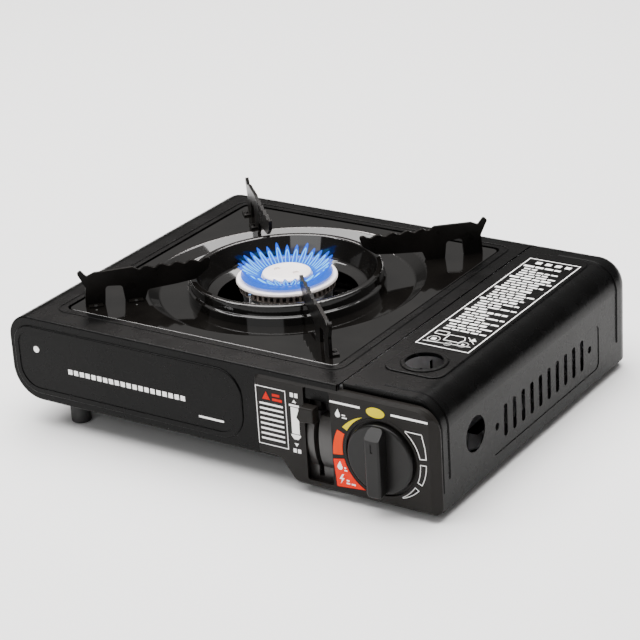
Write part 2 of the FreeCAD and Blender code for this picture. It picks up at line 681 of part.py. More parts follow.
def lever_tab():
    """The finger piece pressed onto the lever's end: a wedge that points to the left."""
    z0 = 54.5
    z1 = 65.5
    y0 = FASCIA_Y - 7.5
    y1 = FASCIA_Y - 0.4
    wire = Part.makePolygon([V(71.5, y0, z0 + 3), V(74.5, y0, z1), V(84.5, y0, z1), V(84.5, y0, z0 + 1),
                             V(74, y0, z0), V(71.5, y0, z0 + 3)])
    tab = Part.Face(wire).extrude(V(0, y1 - y0, 0))
    tab = tab.makeFillet(1.0, edges_at_y(tab, y0))
    x0 = LEVER_X - LEVER_T / 2
    arm = box(x0, x0 + LEVER_T, FASCIA_Y - 3.0, PIVOT_Y, PIVOT_Z - 3, PIVOT_Z + 3)
    arm.rotate(V(0, PIVOT_Y, PIVOT_Z), X_DIR, -LEVER_SWING / 2)
    tab = tab.cut(box(70, SLOT_X0 + 0.7, FASCIA_Y - 3.6, FASCIA_Y + 1, z0 - 1, z1 + 1))
    return one(tab.cut(arm))


def lever_spring():
    """A torsion spring round the lever's pin, drawn as its wire turns."""
    turns = []
    wire_r = 0.5
    for i in range(3):
        x = LEVER_X + 2.6 + 1.05 * i
        turns.append(Part.makeTorus(PIVOT_R + 0.3 + wire_r, wire_r, V(x, PIVOT_Y, PIVOT_Z), X_DIR))
    return group(turns)


def crank_pin_y():
    return PIVOT_Y + CRANK_H * math.tan(math.radians(LEVER_SWING / 2))


def cartridge_carrier():
    """The sliding plate that draws the cartridge's collar onto the regulator."""
    pin_y = crank_pin_y()
    pin_z = PIVOT_Z + CRANK_H
    z0 = FLOOR_Z + 0.4
    t = 1.5
    side_x = SPLIT_X + 2.4
    y0 = pin_y - 3
    y1 = FASCIA_Y + 71
    floor = box(side_x, CART_X + 24, y0, y1, z0, z0 + t)
    side = box(side_x, side_x + t, y0, pin_y + 6, z0, pin_z + 3)
    arm = box(LEVER_X + LEVER_T / 2 + 0.8, side_x + t, pin_y - 3, pin_y + 3, pin_z - 3, pin_z + 3)
    pin = cyl(CRANK_PIN_R, V(LEVER_X - LEVER_T / 2 - 0.8, pin_y, pin_z), X_DIR, 8)
    yoke = box(CART_X - 24, CART_X + 24, y1 - 12 - t, y1 - 12, z0, CART_Z + 4)
    yoke = yoke.cut(cyl(14.5, V(CART_X, y1 - 20, CART_Z), Y_DIR, 20))
    yoke = yoke.cut(box(CART_X - 14.5, CART_X + 14.5, y1 - 20, y1, CART_Z, CART_Z + 20))
    return one(floor.fuse([side, arm, pin, yoke]))


# ---- Regulator ----
def regulator_body():
    body = cyl(REG_R, V(REG_X, REG_Y0, REG_Z), Y_DIR, REG_Y1 - REG_Y0)
    body = body.makeFillet(2.0, body.Edges[:1])
    foot_block = box(CART_X - 16, CART_X + 12, REG_Y0, REG_Y1 - 4, FLOOR_Z, REG_Z - 10)
    outlet = cyl(6.0, V(OUTLET_X, REG_Y1 - 7, OUTLET_Z), Y_DIR, 7)
    boss = box(OUTLET_X - 6, OUTLET_X + 10, REG_Y1 - 15, REG_Y1 - 1, OUTLET_Z - 8, OUTLET_Z + 6)
    body = body.fuse([foot_block, outlet, boss])
    body = body.cut(cyl(SPINDLE_R + RUN_FIT, V(KNOB_X, FASCIA_Y, KNOB_Z), Y_DIR, 28))
    body = body.cut(cyl(PIPE_R, V(OUTLET_X, REG_Y1 - 3, OUTLET_Z), Y_DIR, 10))
    body = body.cut(cyl(6.0, V(CART_X, REG_Y1 - 10, CART_Z), Y_DIR, 12))
    return one(body)


def regulator_cover():
    x = REG_X + REG_R
    y = (REG_Y0 + REG_Y1) / 2
    cover = cyl(11.2, V(x - 6, y, REG_Z), X_DIR, 10)
    cover = cover.makeFillet(1.5, [e for e in cover.Edges if e.BoundBox.XMin > x + 3])
    return one(cover.cut(cyl(REG_R + 0.05, V(REG_X, FASCIA_Y + 10, REG_Z), Y_DIR, 40)))


def cartridge_socket():
    socket = tube(16.6, 8.4, V(CART_X, REG_Y1, CART_Z), Y_DIR, 6)
    socket = socket.makeFillet(1.0, edges_at_y(socket, REG_Y1 + 6)[:1])
    key = box(CART_X - 2.5, CART_X + 2.5, REG_Y1 + 5.5, REG_Y1 + 9, CART_Z + 10.5, CART_Z + 14.5)
    return one(socket.fuse(key))


def inlet_seal():
    return tube(8.2, 5.2, V(CART_X, REG_Y1 + 0.05, CART_Z), Y_DIR, 2.2)


def control_bracket():
    """The upright sheet behind the fascia; it carries the regulator, shroud and front hinge pin."""
    y = BRACKET_Y
    left = HINGE_X - HINGE_EAR_R
    right = RIGHT_X - 3.6
    top = TOP_Z - 4.2
    points = [(right, LOW_Z + 1.6, 2), (right, top, 17), (left, top, 0), (left, LOW_Z + 1.6, 0)]
    sheet = hinge_ear(xz_prism(points, y, y + BRACKET_SHEET), y, BRACKET_SHEET)
    for z in REG_SCREW_ZS:
        sheet = sheet.cut(cyl(REG_SCREW_R, V(REG_SCREW_X, y - 1, z), Y_DIR, 4))
    return one(sheet.cut(cyl(11.6, V(KNOB_X, y - 1, KNOB_Z), Y_DIR, 4)))


def gas_pipe():
    """A thin pipe from the regulator's outlet, through the partition, to the injector."""
    start = V(OUTLET_X, REG_Y1 - 3, OUTLET_Z)
    points = [start, V(OUTLET_X, PIPE_Y - 10, OUTLET_Z), V(OUTLET_X - 6, PIPE_Y, PIPE_Z),
              V(INJECTOR_X1, PIPE_Y, PIPE_Z)]
    wire, tangent = bent_path(points, 6.0)
    ring = Part.Wire(Part.makeCircle(PIPE_R, start, tangent))
    return one(wire.makePipeShell([ring], True, False))


def bent_path(points, radius):
    """Straight runs joined by tangent arcs of one radius; returns the wire and its first direction."""
    edges = []
    last = points[0]
    for i in range(1, len(points) - 1):
        d0 = points[i - 1].sub(points[i]).normalize()
        d1 = points[i + 1].sub(points[i]).normalize()
        half = d0.getAngle(d1) / 2
        reach = radius / math.tan(half)
        middle = d0.add(d1).normalize()
        a = points[i] + d0 * reach
        b = points[i] + d1 * reach
        m = points[i] + middle * (radius / math.sin(half) - radius)
        if last.sub(a).Length > 1e-4:
            edges.append(Part.makeLine(last, a))
        edges.append(Part.Arc(a, m, b).toShape())
        last = b
    edges.append(Part.makeLine(last, points[-1]))
    return Part.Wire(edges), points[1].sub(points[0]).normalize()


# ---- Burner ----
def tube_direction():
    return V(BURNER_X - TUBE_START.x, BURNER_Y - TUBE_START.y, 0).normalize()


def injector():
    block = box(INJECTOR_X0, INJECTOR_X1, PIPE_Y - 6, PIPE_Y + 6, PIPE_Z - 5, PIPE_Z + 5)
    jet = Part.makeCone(4.0, 2.0, 7, V(INJECTOR_X0 + 1, PIPE_Y, PIPE_Z), tube_direction())
    body = block.fuse(jet)
    return one(body.cut(cyl(0.5, V(INJECTOR_X0 + 2, PIPE_Y, PIPE_Z), tube_direction(), 12)))


def mixing_tube():
    d = tube_direction()
    length = V(BURNER_X, BURNER_Y, PIPE_Z).sub(TUBE_START).Length - 26
    outer = cyl(TUBE_R, TUBE_START, d, length)
    flare = Part.makeCone(TUBE_R + 3, TUBE_R, 10, TUBE_START, d)
    body = outer.fuse(flare)
    body = body.cut(cyl(TUBE_R - TUBE_WALL, TUBE_START - d, d, length + 2))
    body = body.cut(Part.makeCone(TUBE_R + 3 - TUBE_WALL, TUBE_R - TUBE_WALL, 10.2, TUBE_START - d * 0.1, d))
    for i in range(2):
        port = cyl(3, TUBE_START + d * 16 - Z_DIR * 12, Z_DIR, 24)
        port.rotate(TUBE_START + d * 16, d, 90 * i)
        body = body.cut(port)
    return one(body)


def burner_base():
    low = BURNER_FLOOR_Z
    rim = BURNER_FLOOR_Z + 22.5
    points = [(0, low, 0), (22, low, 3), (30, low + 4, 3), (32.5, rim, 0), (30.3, rim, 0), (28, low + 6, 2),
              (20, low + 2.5, 2), (0, low + 2.5, 0)]
    body = turned(points, BURNER_X, BURNER_Y)
    d = tube_direction()
    start = V(BURNER_X, BURNER_Y, PIPE_Z) - d * 32
    collar = tube(TUBE_R + 2.5, TUBE_R + 0.05, start, d, 12)
    collar = collar.cut(cyl(28, V(BURNER_X, BURNER_Y, 50), Z_DIR, 30))
    body = body.fuse(collar)
    return one(body.cut(cyl(TUBE_R + 0.05, start - d, d, 20)))


def burner_bracket():
    """The strap that stands the burner on the base pan."""
    z0 = HIGH_Z + 2 * SHEET + 0.2
    top = 53.8
    half = 34
    strap = box(BURNER_X - half, BURNER_X + half, BURNER_Y - 9, BURNER_Y + 9, z0, top)
    inside = half - BRACKET_SHEET
    gap = box(BURNER_X - inside, BURNER_X + inside, BURNER_Y - 10, BURNER_Y + 10, z0 - 1, top - BRACKET_SHEET)
    strap = strap.cut(gap)
    toe_z = z0 + BRACKET_SHEET
    toes = [box(BURNER_X - half - 14, BURNER_X - half + 1, BURNER_Y - 9, BURNER_Y + 9, z0, toe_z),
            box(BURNER_X + half - 1, BURNER_X + half + 14, BURNER_Y - 9, BURNER_Y + 9, z0, toe_z)]
    strap = strap.fuse(toes)
    for side in (-1, 1):
        strap = strap.cut(cyl(1.5, V(BURNER_X + side * 41, BURNER_Y, 0), Z_DIR, 40))
    return one(strap)


def burner_slot_ring():
    """The toothed ring under the cap; gas leaves through the gaps."""
    ring = tube(SLOT_RING_R, SLOT_RING_R - 4, V(BURNER_X, BURNER_Y, 76.6), Z_DIR, 4.6)
    cutters = []
    for i in range(SLOT_RING_TEETH):
        gap = box(BURNER_X + SLOT_RING_R - 5, BURNER_X + SLOT_RING_R + 2, BURNER_Y - 1.3, BURNER_Y + 1.3,
                  77.4, 80.8)
        cutters.append(around(gap, BURNER_X, BURNER_Y, 360.0 * i / SLOT_RING_TEETH))
    return one(ring.cut(cutters))


def burner_cap():
    bore_r = HUB_R + 0.3
    points = [(bore_r, 81.3, 0), (SLOT_RING_R, 81.3, 0), (BURNER_R, 82.3, 0.8),
              (BURNER_R - 0.6, BURNER_TOP_Z, 1.0), (24, BURNER_TOP_Z - 0.9, 2), (21, BURNER_TOP_Z - 1.6, 1),
              (bore_r, BURNER_TOP_Z - 1.6, 0)]
    return one(turned(points, BURNER_X, BURNER_Y))


def burner_hub():
    points = [(0, HUB_LOW_Z, 0), (HUB_R, HUB_LOW_Z, 0), (HUB_R, HUB_TOP_Z - 0.8, 1.2), (14, HUB_TOP_Z, 2),
              (0, HUB_TOP_Z, 0)]
    hub = turned(points, BURNER_X, BURNER_Y)
    for side in (-1, 1):
        hub = hub.cut(cyl(2.4, V(BURNER_X + side * 8, BURNER_Y, HUB_TOP_Z - 1.2), Z_DIR, 5))
    cutters = []
    for i in range(FLAME_PORTS):
        port = box(BURNER_X + 12, BURNER_X + 18, BURNER_Y - 0.7, BURNER_Y + 0.7,
                   BURNER_TOP_Z - 0.8, BURNER_TOP_Z + 1.0)
        cutters.append(around(port, BURNER_X, BURNER_Y, 360.0 * i / FLAME_PORTS))
    return one(hub.cut(cutters))


def burner_stem():
    """The stud that ties the hub and cap to the base."""
    foot_z = BURNER_FLOOR_Z + 2.6
    return cyl(3.0, V(BURNER_X, BURNER_Y, foot_z), Z_DIR, HUB_LOW_Z - 0.1 - foot_z)


def heat_plate():
    """A strip that carries a little heat from the burner to the cartridge."""
    z = 60.0
    x1 = SPLIT_X - 3.2
    strip = box(BURNER_X + 44, x1, BURNER_Y - 10, BURNER_Y + 10, z, z + 1.0)
    drop = box(x1 - 1.0, x1, BURNER_Y - 10, BURNER_Y + 10, z - 26, z + 1.0)
    stub = box(BURNER_X + 33.6, BURNER_X + 45, BURNER_Y - 5, BURNER_Y + 5, z, z + 1.0)
    return one(strip.fuse([drop, stub]))


# ---- Ignition ----
def electrode_insulator():
    body = cyl(3.0, V(SPARK_X, SPARK_Y, 52), Z_DIR, 24)
    shoulder = cyl(4.2, V(SPARK_X, SPARK_Y, 60), Z_DIR, 4)
    body = body.fuse(shoulder)
    return one(body.cut(cyl(1.0, V(SPARK_X, SPARK_Y, 50), Z_DIR, 30)))


def spark_electrode():
    return cyl(0.95, V(SPARK_X, SPARK_Y, 49), Z_DIR, 34.5)


def igniter_box():
    body = box(KNOB_X - 7, KNOB_X + 7, BRACKET_Y + BRACKET_SHEET + 0.6, FASCIA_Y + 24, IGNITER_Z, TOP_Z - 4.8)
    body = body.makeFillet(1.2, [e for e in body.Edges if abs(e.tangentAt(0).y) > 0.9])
    return one(body.cut(cyl(PLUNGER_R + 0.15, V(KNOB_X, PLUNGER_Y, IGNITER_Z - 1), Z_DIR, 7)))


def igniter_plunger():
    """The igniter's push rod; the cam on the knob's spindle drives it up."""
    return cyl(PLUNGER_R, V(KNOB_X, PLUNGER_Y, PLUNGER_FOOT_Z), Z_DIR, IGNITER_Z + 1 - PLUNGER_FOOT_Z)


def igniter_lead():
    """The spark lead: from the igniter, along the case, to the foot of the electrode."""
    start = V(KNOB_X - 4, FASCIA_Y + 24, 72)
    points = [start, V(KNOB_X - 4, FASCIA_Y + 40, 72), V(106, FASCIA_Y + 69, 69),
              V(LEAD_HOLE_X, LEAD_HOLE_Y, LEAD_HOLE_Z),
              V(84, FASCIA_Y + 76, 42), V(40, FASCIA_Y + 76, 34), V(SPARK_X + 24, SPARK_Y - 8, 32),
              V(SPARK_X, SPARK_Y, 32), V(SPARK_X, SPARK_Y, 48.9)]
    wire, tangent = bent_path(points, 6.5)
    ring = Part.Wire(Part.makeCircle(LEAD_R, start, tangent))
    lead = one(wire.makePipeShell([ring], True, False))
    full = lead.Volume / (math.pi * LEAD_R ** 2 * wire.Length)
    print("lead length", round(wire.Length, 1), "volume check", round(full, 3))
    return lead


# ---- Knob ----
def control_knob():
    """A disc with a grip bar across it; the bar's upper end slopes down to the disc."""
    y0 = FASCIA_Y + 0.6
    disc_y = FASCIA_Y - 3.4
    crest_y = FASCIA_Y - KNOB_PROUD
    disc = cyl(KNOB_R, V(KNOB_X, disc_y, KNOB_Z), Y_DIR, 4.0)
    disc = disc.makeFillet(1.6, edges_at_y(disc, disc_y))
    left = KNOB_X - GRIP_HALF
    right = KNOB_X + GRIP_HALF
    low = KNOB_Z - GRIP_REACH
    top = KNOB_Z + GRIP_REACH
    grip = xz_prism([(left, top, 3), (left, low, 3), (right, low, 3), (right, top, 3)], crest_y, y0)
    grip = grip.makeFillet(1.5, edges_at_y(grip, crest_y))
    slope = yz_prism([(crest_y - 1, top - GRIP_SLOPE, 0), (crest_y - 1, top + 1, 0), (disc_y, top + 1, 0)],
                     left - 1, right + 1)
    notch_top = top - GRIP_SLOPE - 1.5
    notch = box(KNOB_X - 0.8, KNOB_X + 0.8, crest_y - 1, crest_y + 0.5, notch_top - 6, notch_top)
    knob = disc.fuse(grip.cut(slope)).cut(notch)
    skirt = cyl(6.6, V(KNOB_X, y0 - 1, KNOB_Z), Y_DIR, 6)
    knob = knob.fuse(skirt)
    return one(knob.cut(cyl(SPINDLE_R, V(KNOB_X, FASCIA_Y - 6, KNOB_Z), Y_DIR, 20)))


def knob_spindle():
    return cyl(SPINDLE_R, V(KNOB_X, FASCIA_Y - 6, KNOB_Z), Y_DIR, 33)


def ignition_cam():
    """The cam on the spindle: its lobe comes under the igniter's push rod at the end of the turn."""
    y0 = BRACKET_Y + BRACKET_SHEET + 0.8
    depth = REG_Y0 - 0.6 - y0
    cam = cyl(8.0, V(KNOB_X, y0, KNOB_Z), Y_DIR, depth)
    lobe = cyl(3.0, V(KNOB_X, y0, KNOB_Z + CAM_LOBE), Y_DIR, depth)
    web = box(KNOB_X - 3, KNOB_X + 3, y0, y0 + depth, KNOB_Z, KNOB_Z + CAM_LOBE)
    cam = cam.fuse([lobe, web])
    cam.rotate(V(KNOB_X, 0, KNOB_Z), Y_DIR, KNOB_TURN)
    return one(cam.cut(cyl(SPINDLE_R, V(KNOB_X, y0 - 1, KNOB_Z), Y_DIR, depth + 2)))


# ---- Drip plate and pan supports ----
def drip_plate():
    z = PLATE_Z
    slab = rounded_slab(BURNER_X, BURNER_Y, z - PLATE_T, z, PLATE_SIDE, PLATE_SIDE, 5)
    skirt = rounded_slab(BURNER_X, BURNER_Y, TOP_Z - WELL_DEPTH, z, PLATE_SIDE, PLATE_SIDE, 5)
    skirt = skirt.cut(rounded_slab(BURNER_X, BURNER_Y, z - 5, z + 1, PLATE_SIDE - 2, PLATE_SIDE - 2, 4))
    slab = slab.fuse(skirt)
    slab = slab.makeFillet(0.5, [e for e in slab.Edges if e.BoundBox.ZMin > z - 0.01])
    slab = slab.cut(cyl(DISH_R, V(BURNER_X, BURNER_Y, 0), Z_DIR, 200))
    t = PLATE_T
    points = [(DISH_R + 0.5, z, 0), (DISH_R - 1, z, 2.5), (DISH_FLOOR_R, DISH_Z, 3),
              (PLATE_HOLE_R, DISH_Z, 0),
              (PLATE_HOLE_R, DISH_Z - t, 0), (DISH_FLOOR_R + 0.3, DISH_Z - t, 3), (DISH_R - 0.7, z - t, 2.5),
              (DISH_R + 0.5, z - t, 0)]
    dish = turned(points, BURNER_X, BURNER_Y)
    return one(slab.fuse(dish))


def flame_ring():
    z0 = DISH_Z + 0.02
    mid = 82.0
    top = RING_RIM_Z
    points = [(RING_R + 1.8, z0, 0), (RING_R + 1.8, mid - 0.8, 0.8), (RING_R, mid, 0.3), (RING_R, top, 1.2),
              (RING_R - 4.5, top, 1.2), (THROAT_R, 74, 3), (50, 71.0, 0), (50, 70.2, 0),
              (THROAT_R + 0.9, 73.2, 3.6), (RING_R - 3.6, top - 0.9, 0.5), (RING_R - 0.9, top - 0.9, 0.3),
              (RING_R - 0.9, mid - 0.6, 0.3), (RING_R + 0.9, mid - 1.5, 0.3), (RING_R + 0.9, z0, 0)]
    return one(turned(points, BURNER_X, BURNER_Y))


def pan_support_outline():
    """Side view of one support: distance from the burner's centre, height, corner radius."""
    z = PLATE_Z
    top = POT_REST_Z
    points = [(142.3, z, 0.5), (141.3, z + 14, 4), (146.4, top + 0.2, 1.6), (143.6, top + 2.1, 1.0),
              (139.6, top - 2.8, 1.0), (134.5, top - 0.6, 1.5), (107.5, top, 1.0)]
    for i in range(5):
        r = 103.0 - 10.6 * i
        points += [(r, top - 3.0, 3.2), (r - 4.4, top - 0.2, 3.2)]
    points += [(53.0, top - 0.6, 1.6), (55.0, top - 8.0, 3.0), (64.5, RING_RIM_Z + 1.6, 1.5), (78, 89.6, 4),
               (98.2, 88.2, 2.2), (100.6, z, 0.5), (114.5, z, 0.5), (115.8, 93.6, 2.5), (127.4, 94.8, 2.5),
               (128.6, z, 0.5)]
    return points


def pan_support(index):
    half = SUPPORT_T / 2
    wire = profile_wire(pan_support_outline(), lambda p: V(BURNER_X + p.x, BURNER_Y - half, p.y))
    blade = Part.Face(wire).extrude(V(0, 2 * half, 0))
    tabs = []
    for r0, r1 in SUPPORT_TABS:
        face_y = BURNER_Y + half
        tabs.append(box(BURNER_X + r0, BURNER_X + r1, face_y, face_y + 5.0, PLATE_Z, PLATE_Z + SUPPORT_TAB_T))
    blade = blade.fuse(tabs)
    return around(one(blade), BURNER_X, BURNER_Y, 45 + 90 * index)


def support_rivets():
    rivets = []
    for index in range(4):
        for r0, r1 in SUPPORT_TABS:
            head = V(BURNER_X + (r0 + r1) / 2, BURNER_Y + 4.0, PLATE_Z + SUPPORT_TAB_T)
            rivet = Part.makeCone(1.8, 1.2, 0.9, head, Z_DIR)
            rivets.append(around(rivet, BURNER_X, BURNER_Y, 45 + 90 * index))
    return group(rivets)


# ---- Fasteners ----
def base_screws():
    screws = []
    for x, y in ((BURNER_X - 41, BURNER_Y), (BURNER_X + 41, BURNER_Y)):
        screws.append(pan_head_screw(V(x, y, HIGH_Z + 1.2), Z_DIR, 2.8, 1.45))
    return group(screws)


def regulator_screws():
    screws = []
    for z in REG_SCREW_ZS:
        head = cyl(2 * REG_SCREW_R, V(REG_SCREW_X, BRACKET_Y - 1.6, z), Y_DIR, 1.6)
        shaft = cyl(REG_SCREW_R, V(REG_SCREW_X, BRACKET_Y - 1, z), Y_DIR, REG_Y0 - BRACKET_Y + 0.9)
        screws.append(one(head.fuse(shaft)))
    return group(screws)


def build_all():
    add("top_shell", top_shell())
    add("front_panel", front_panel())
    add("base_pan", base_pan())
    add("feet_left", feet_left())
    add("feet_right", feet_right())
    add("partition", partition())
    add("bay_rear_wall", bay_rear_wall())
    add("cartridge_cradle", cartridge_cradle())
    add("cartridge_lid", cartridge_lid())
    add("lid_hinge_pins", lid_hinge_pins())
    add("control_fascia", control_fascia())
    add("lever_shroud", lever_shroud())
    add("lever_bracket", lever_bracket())
    add("lever_pin", lever_pin())
    add("lock_lever", lock_lever())
    add("lever_tab", lever_tab())
    add("lever_spring", lever_spring())
    add("cartridge_carrier", cartridge_carrier())
    add("regulator_body", regulator_body())
    add("regulator_cover", regulator_cover())
    add("cartridge_socket", cartridge_socket())
    add("inlet_seal", inlet_seal())
    add("control_bracket", control_bracket())
    add("gas_pipe", gas_pipe())
    add("injector", injector())
    add("mixing_tube", mixing_tube())
    add("burner_base", burner_base())
    add("burner_bracket", burner_bracket())
    add("burner_slot_ring", burner_slot_ring())
    add("burner_cap", burner_cap())
    add("burner_hub", burner_hub())
    add("burner_stem", burner_stem())
    add("heat_plate", heat_plate())
    add("electrode_insulator", electrode_insulator())
    add("spark_electrode", spark_electrode())
    add("igniter_box", igniter_box())
    add("igniter_plunger", igniter_plunger())
    add("igniter_lead", igniter_lead())
    add("control_knob", control_knob())
    add("knob_spindle", knob_spindle())
    add("ignition_cam", ignition_cam())
    add("drip_plate", drip_plate())
    add("flame_ring", flame_ring())
    for index, place in enumerate(("back_right", "back_left", "front_left", "front_right")):
        add("pan_support_" + place, pan_support(index))
    add("support_rivets", support_rivets())
    add("base_screws", base_screws())
    add("regulator_screws", regulator_screws())


os.makedirs("parts", exist_ok=True)
build_all()
for node, shape in NODES.items():
    if not shape.isValid():
        print("not valid:", node)
    shape.exportStep("parts/" + node + ".step")
print(len(NODES), "nodes")
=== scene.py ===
import json
import math
import random

import bmesh
import bpy
from mathutils import Matrix, Vector


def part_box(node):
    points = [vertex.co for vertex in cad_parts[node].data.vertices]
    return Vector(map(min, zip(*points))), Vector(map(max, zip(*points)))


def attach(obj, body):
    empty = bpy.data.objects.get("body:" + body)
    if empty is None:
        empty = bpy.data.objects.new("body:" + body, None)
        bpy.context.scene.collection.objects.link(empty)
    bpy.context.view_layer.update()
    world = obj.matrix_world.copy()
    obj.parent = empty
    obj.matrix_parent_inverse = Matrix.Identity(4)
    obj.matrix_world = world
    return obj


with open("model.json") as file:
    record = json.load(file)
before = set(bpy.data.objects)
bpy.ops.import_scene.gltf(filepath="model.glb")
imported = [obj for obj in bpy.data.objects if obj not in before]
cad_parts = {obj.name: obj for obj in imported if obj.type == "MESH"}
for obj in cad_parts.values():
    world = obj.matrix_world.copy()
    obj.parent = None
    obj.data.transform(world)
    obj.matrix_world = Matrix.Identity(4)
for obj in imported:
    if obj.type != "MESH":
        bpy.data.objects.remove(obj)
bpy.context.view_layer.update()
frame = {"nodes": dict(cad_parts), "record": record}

# Sizes are in millimetres. Only the stage, the finishes' grain and names that end in _M are in metres.
MM = 0.001

# ---- Places read from the frame ----
NODE_LOW, NODE_HIGH = {}, {}
for node_name in frame["nodes"]:
    low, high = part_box(node_name)
    NODE_LOW[node_name] = low / MM
    NODE_HIGH[node_name] = high / MM

BURNER = (NODE_LOW["burner_cap"] + NODE_HIGH["burner_cap"]) / 2
BURNER_TOP = NODE_HIGH["burner_cap"].z
KNOB = (NODE_LOW["knob_spindle"] + NODE_HIGH["knob_spindle"]) / 2
KNOB_RIM_PROUD = 0.5
FASCIA_FACE = NODE_LOW["control_fascia"].y + KNOB_RIM_PROUD
PANEL_DENT = 0.5
PANEL_FACE = NODE_LOW["front_panel"].y + PANEL_DENT
COLLAR_ABOVE_PAD = 0.9
LID_FACE = NODE_HIGH["cartridge_lid"].z - COLLAR_ABOVE_PAD

# ---- Camera ----
CAMERA_AZIMUTH = math.radians(34.138)
CAMERA_ELEVATION = math.radians(23.45)
CAMERA_ROLL = math.radians(-3.593)
CAMERA_DISTANCE = 1603.6
CAMERA_TARGET = Vector((-13.4, 21.2, 46.0))
CAMERA_LENS = 127.0
CAMERA_CLIP_END_M = 20

# ---- Stage, in metres and watts ----
# Each light: name, place, target, size, power and colour.
LIGHTS = (
    ("overhead", (-0.2, 0.2, 2.2), (0, 0, 0), (2.6, 2.6), 190, (1.0, 0.985, 0.97)),
    ("back_left", (-1.6, 1.9, 1.9), (0, 0, 0.05), (0.9, 0.4), 14, (1.0, 0.93, 0.90)),
    ("edge_box", (-1.5, -1.2, 2.2), (0, 0, 0.05), (0.7, 0.7), 24, (1, 1, 1)),
    ("front_fill", (0.2, -2.0, 1.1), (0, 0, 0.05), (1.6, 0.8), 9, (1, 1, 1)),
)
# The studio's colour by height, from the horizon (0) to straight up (1).
SKY = ((0.0, (0.03, 0.03, 0.03)), (0.16, (0.05, 0.05, 0.05)), (0.45, (0.30, 0.295, 0.29)),
       (0.9, (0.75, 0.74, 0.73)))
FLOOR_HALF_SIDE = 6
FLOOR_CELLS = 8
FLOOR_HEIGHT = -0.0004
FLOOR_COLOUR = (0.86, 0.86, 0.86)
FLOOR_ROUGHNESS = 0.7

# ---- Finishes ----
# Part of a noise's range that is spread over the whole range of colour or roughness.
NOISE_LOW, NOISE_HIGH = 0.3, 0.7
MOTTLE_SCALE, MOTTLE_DETAIL = 35, 5
GLOSS_SCALE, GLOSS_DETAIL = 70, 6
GRAIN_DETAIL = 3
METAL = dict(metallic=1.0, grain=400, strength=0.15)
COLOUR_PRINT = dict(rough=(0.5, 0.6), specular=0.1, strength=0.05)
COATED = {
    "satin_black_steel": dict(dark=(0.0016, 0.0016, 0.0016), light=(0.0028, 0.0028, 0.0028),
                              rough=(0.24, 0.30), specular=0.08, grain=1500, strength=0.2),
    "black_enamel": dict(dark=(0.0025, 0.0022, 0.002), light=(0.005, 0.0045, 0.004), rough=(0.05, 0.09),
                         coat=0.5, coat_rough=0.03, grain=25, grain_depth=0.0001, strength=0.03),
    "support_enamel": dict(dark=(0.003, 0.0028, 0.0025), light=(0.007, 0.006, 0.0055), rough=(0.26, 0.36),
                           specular=0.10, grain=90, grain_depth=0.0002, strength=0.1),
    "black_plastic": dict(dark=(0.0050, 0.0042, 0.0036), light=(0.0075, 0.0064, 0.0055), rough=(0.42, 0.52),
                          specular=0.14, grain=2200, strength=0.25),
    # Lighter than the black plastic: painted sheen that stands in for the grey highlights on the lever
    # shroud's curved cheeks.
    "lever_shroud_painted_sheen": dict(dark=(0.016, 0.015, 0.014), light=(0.024, 0.022, 0.021), rough=(0.30, 0.40),
                          specular=0.5, grain=1800, strength=0.2),
    "knob_plastic": dict(dark=(0.003, 0.003, 0.003), light=(0.005, 0.0047, 0.0045), rough=(0.32, 0.42),
                         specular=0.2, grain=1800, strength=0.2),
    "white_print": dict(dark=(0.90, 0.89, 0.88), light=(0.97, 0.96, 0.95), rough=(0.45, 0.6), strength=0.05),
    "zinc_steel": dict(METAL, dark=(0.42, 0.42, 0.43), light=(0.58, 0.58, 0.6), rough=(0.3, 0.5)),
    "steel_wire": dict(METAL, dark=(0.6, 0.6, 0.61), light=(0.72, 0.72, 0.73), rough=(0.15, 0.25)),
    "cast_aluminium": dict(dark=(0.45, 0.45, 0.45), light=(0.62, 0.62, 0.61), rough=(0.4, 0.6), metallic=1.0,
                           grain=700, strength=0.4),
    "burner_alloy": dict(dark=(0.86, 0.78, 0.75), light=(0.97, 0.91, 0.88), rough=(0.36, 0.5),
                         metallic=0.1, grain=900, strength=0.25),
    # A darker copy of the burner alloy, for the slot ring under the cap.
    "burner_alloy_darker_copy": dict(dark=(0.12, 0.10, 0.09), light=(0.22, 0.19, 0.17), rough=(0.36, 0.5),
                            metallic=0.5, grain=900, strength=0.25),
    "brass": dict(METAL, dark=(0.6, 0.42, 0.16), light=(0.78, 0.6, 0.3), rough=(0.2, 0.35)),
    "ceramic": dict(dark=(0.80, 0.78, 0.72), light=(0.9, 0.88, 0.84), rough=(0.1, 0.2), strength=0.05),
    "black_rubber": dict(dark=(0.01, 0.01, 0.01), light=(0.02, 0.02, 0.02), rough=(0.6, 0.8), strength=0.5),
    "lead_sleeve": dict(dark=(0.6, 0.58, 0.52), light=(0.7, 0.68, 0.62), rough=(0.4, 0.5)),
    "red_print": dict(COLOUR_PRINT, dark=(0.50, 0.008, 0.001), light=(0.56, 0.010, 0.002)),
    "deep_red_print": dict(COLOUR_PRINT, dark=(0.70, 0.014, 0.0), light=(0.76, 0.018, 0.0)),
    "orange_print": dict(COLOUR_PRINT, dark=(0.66, 0.036, 0.0), light=(0.72, 0.042, 0.0)),
    "yellow_print": dict(COLOUR_PRINT, dark=(0.64, 0.52, 0.0), light=(0.70, 0.57, 0.0)),
}
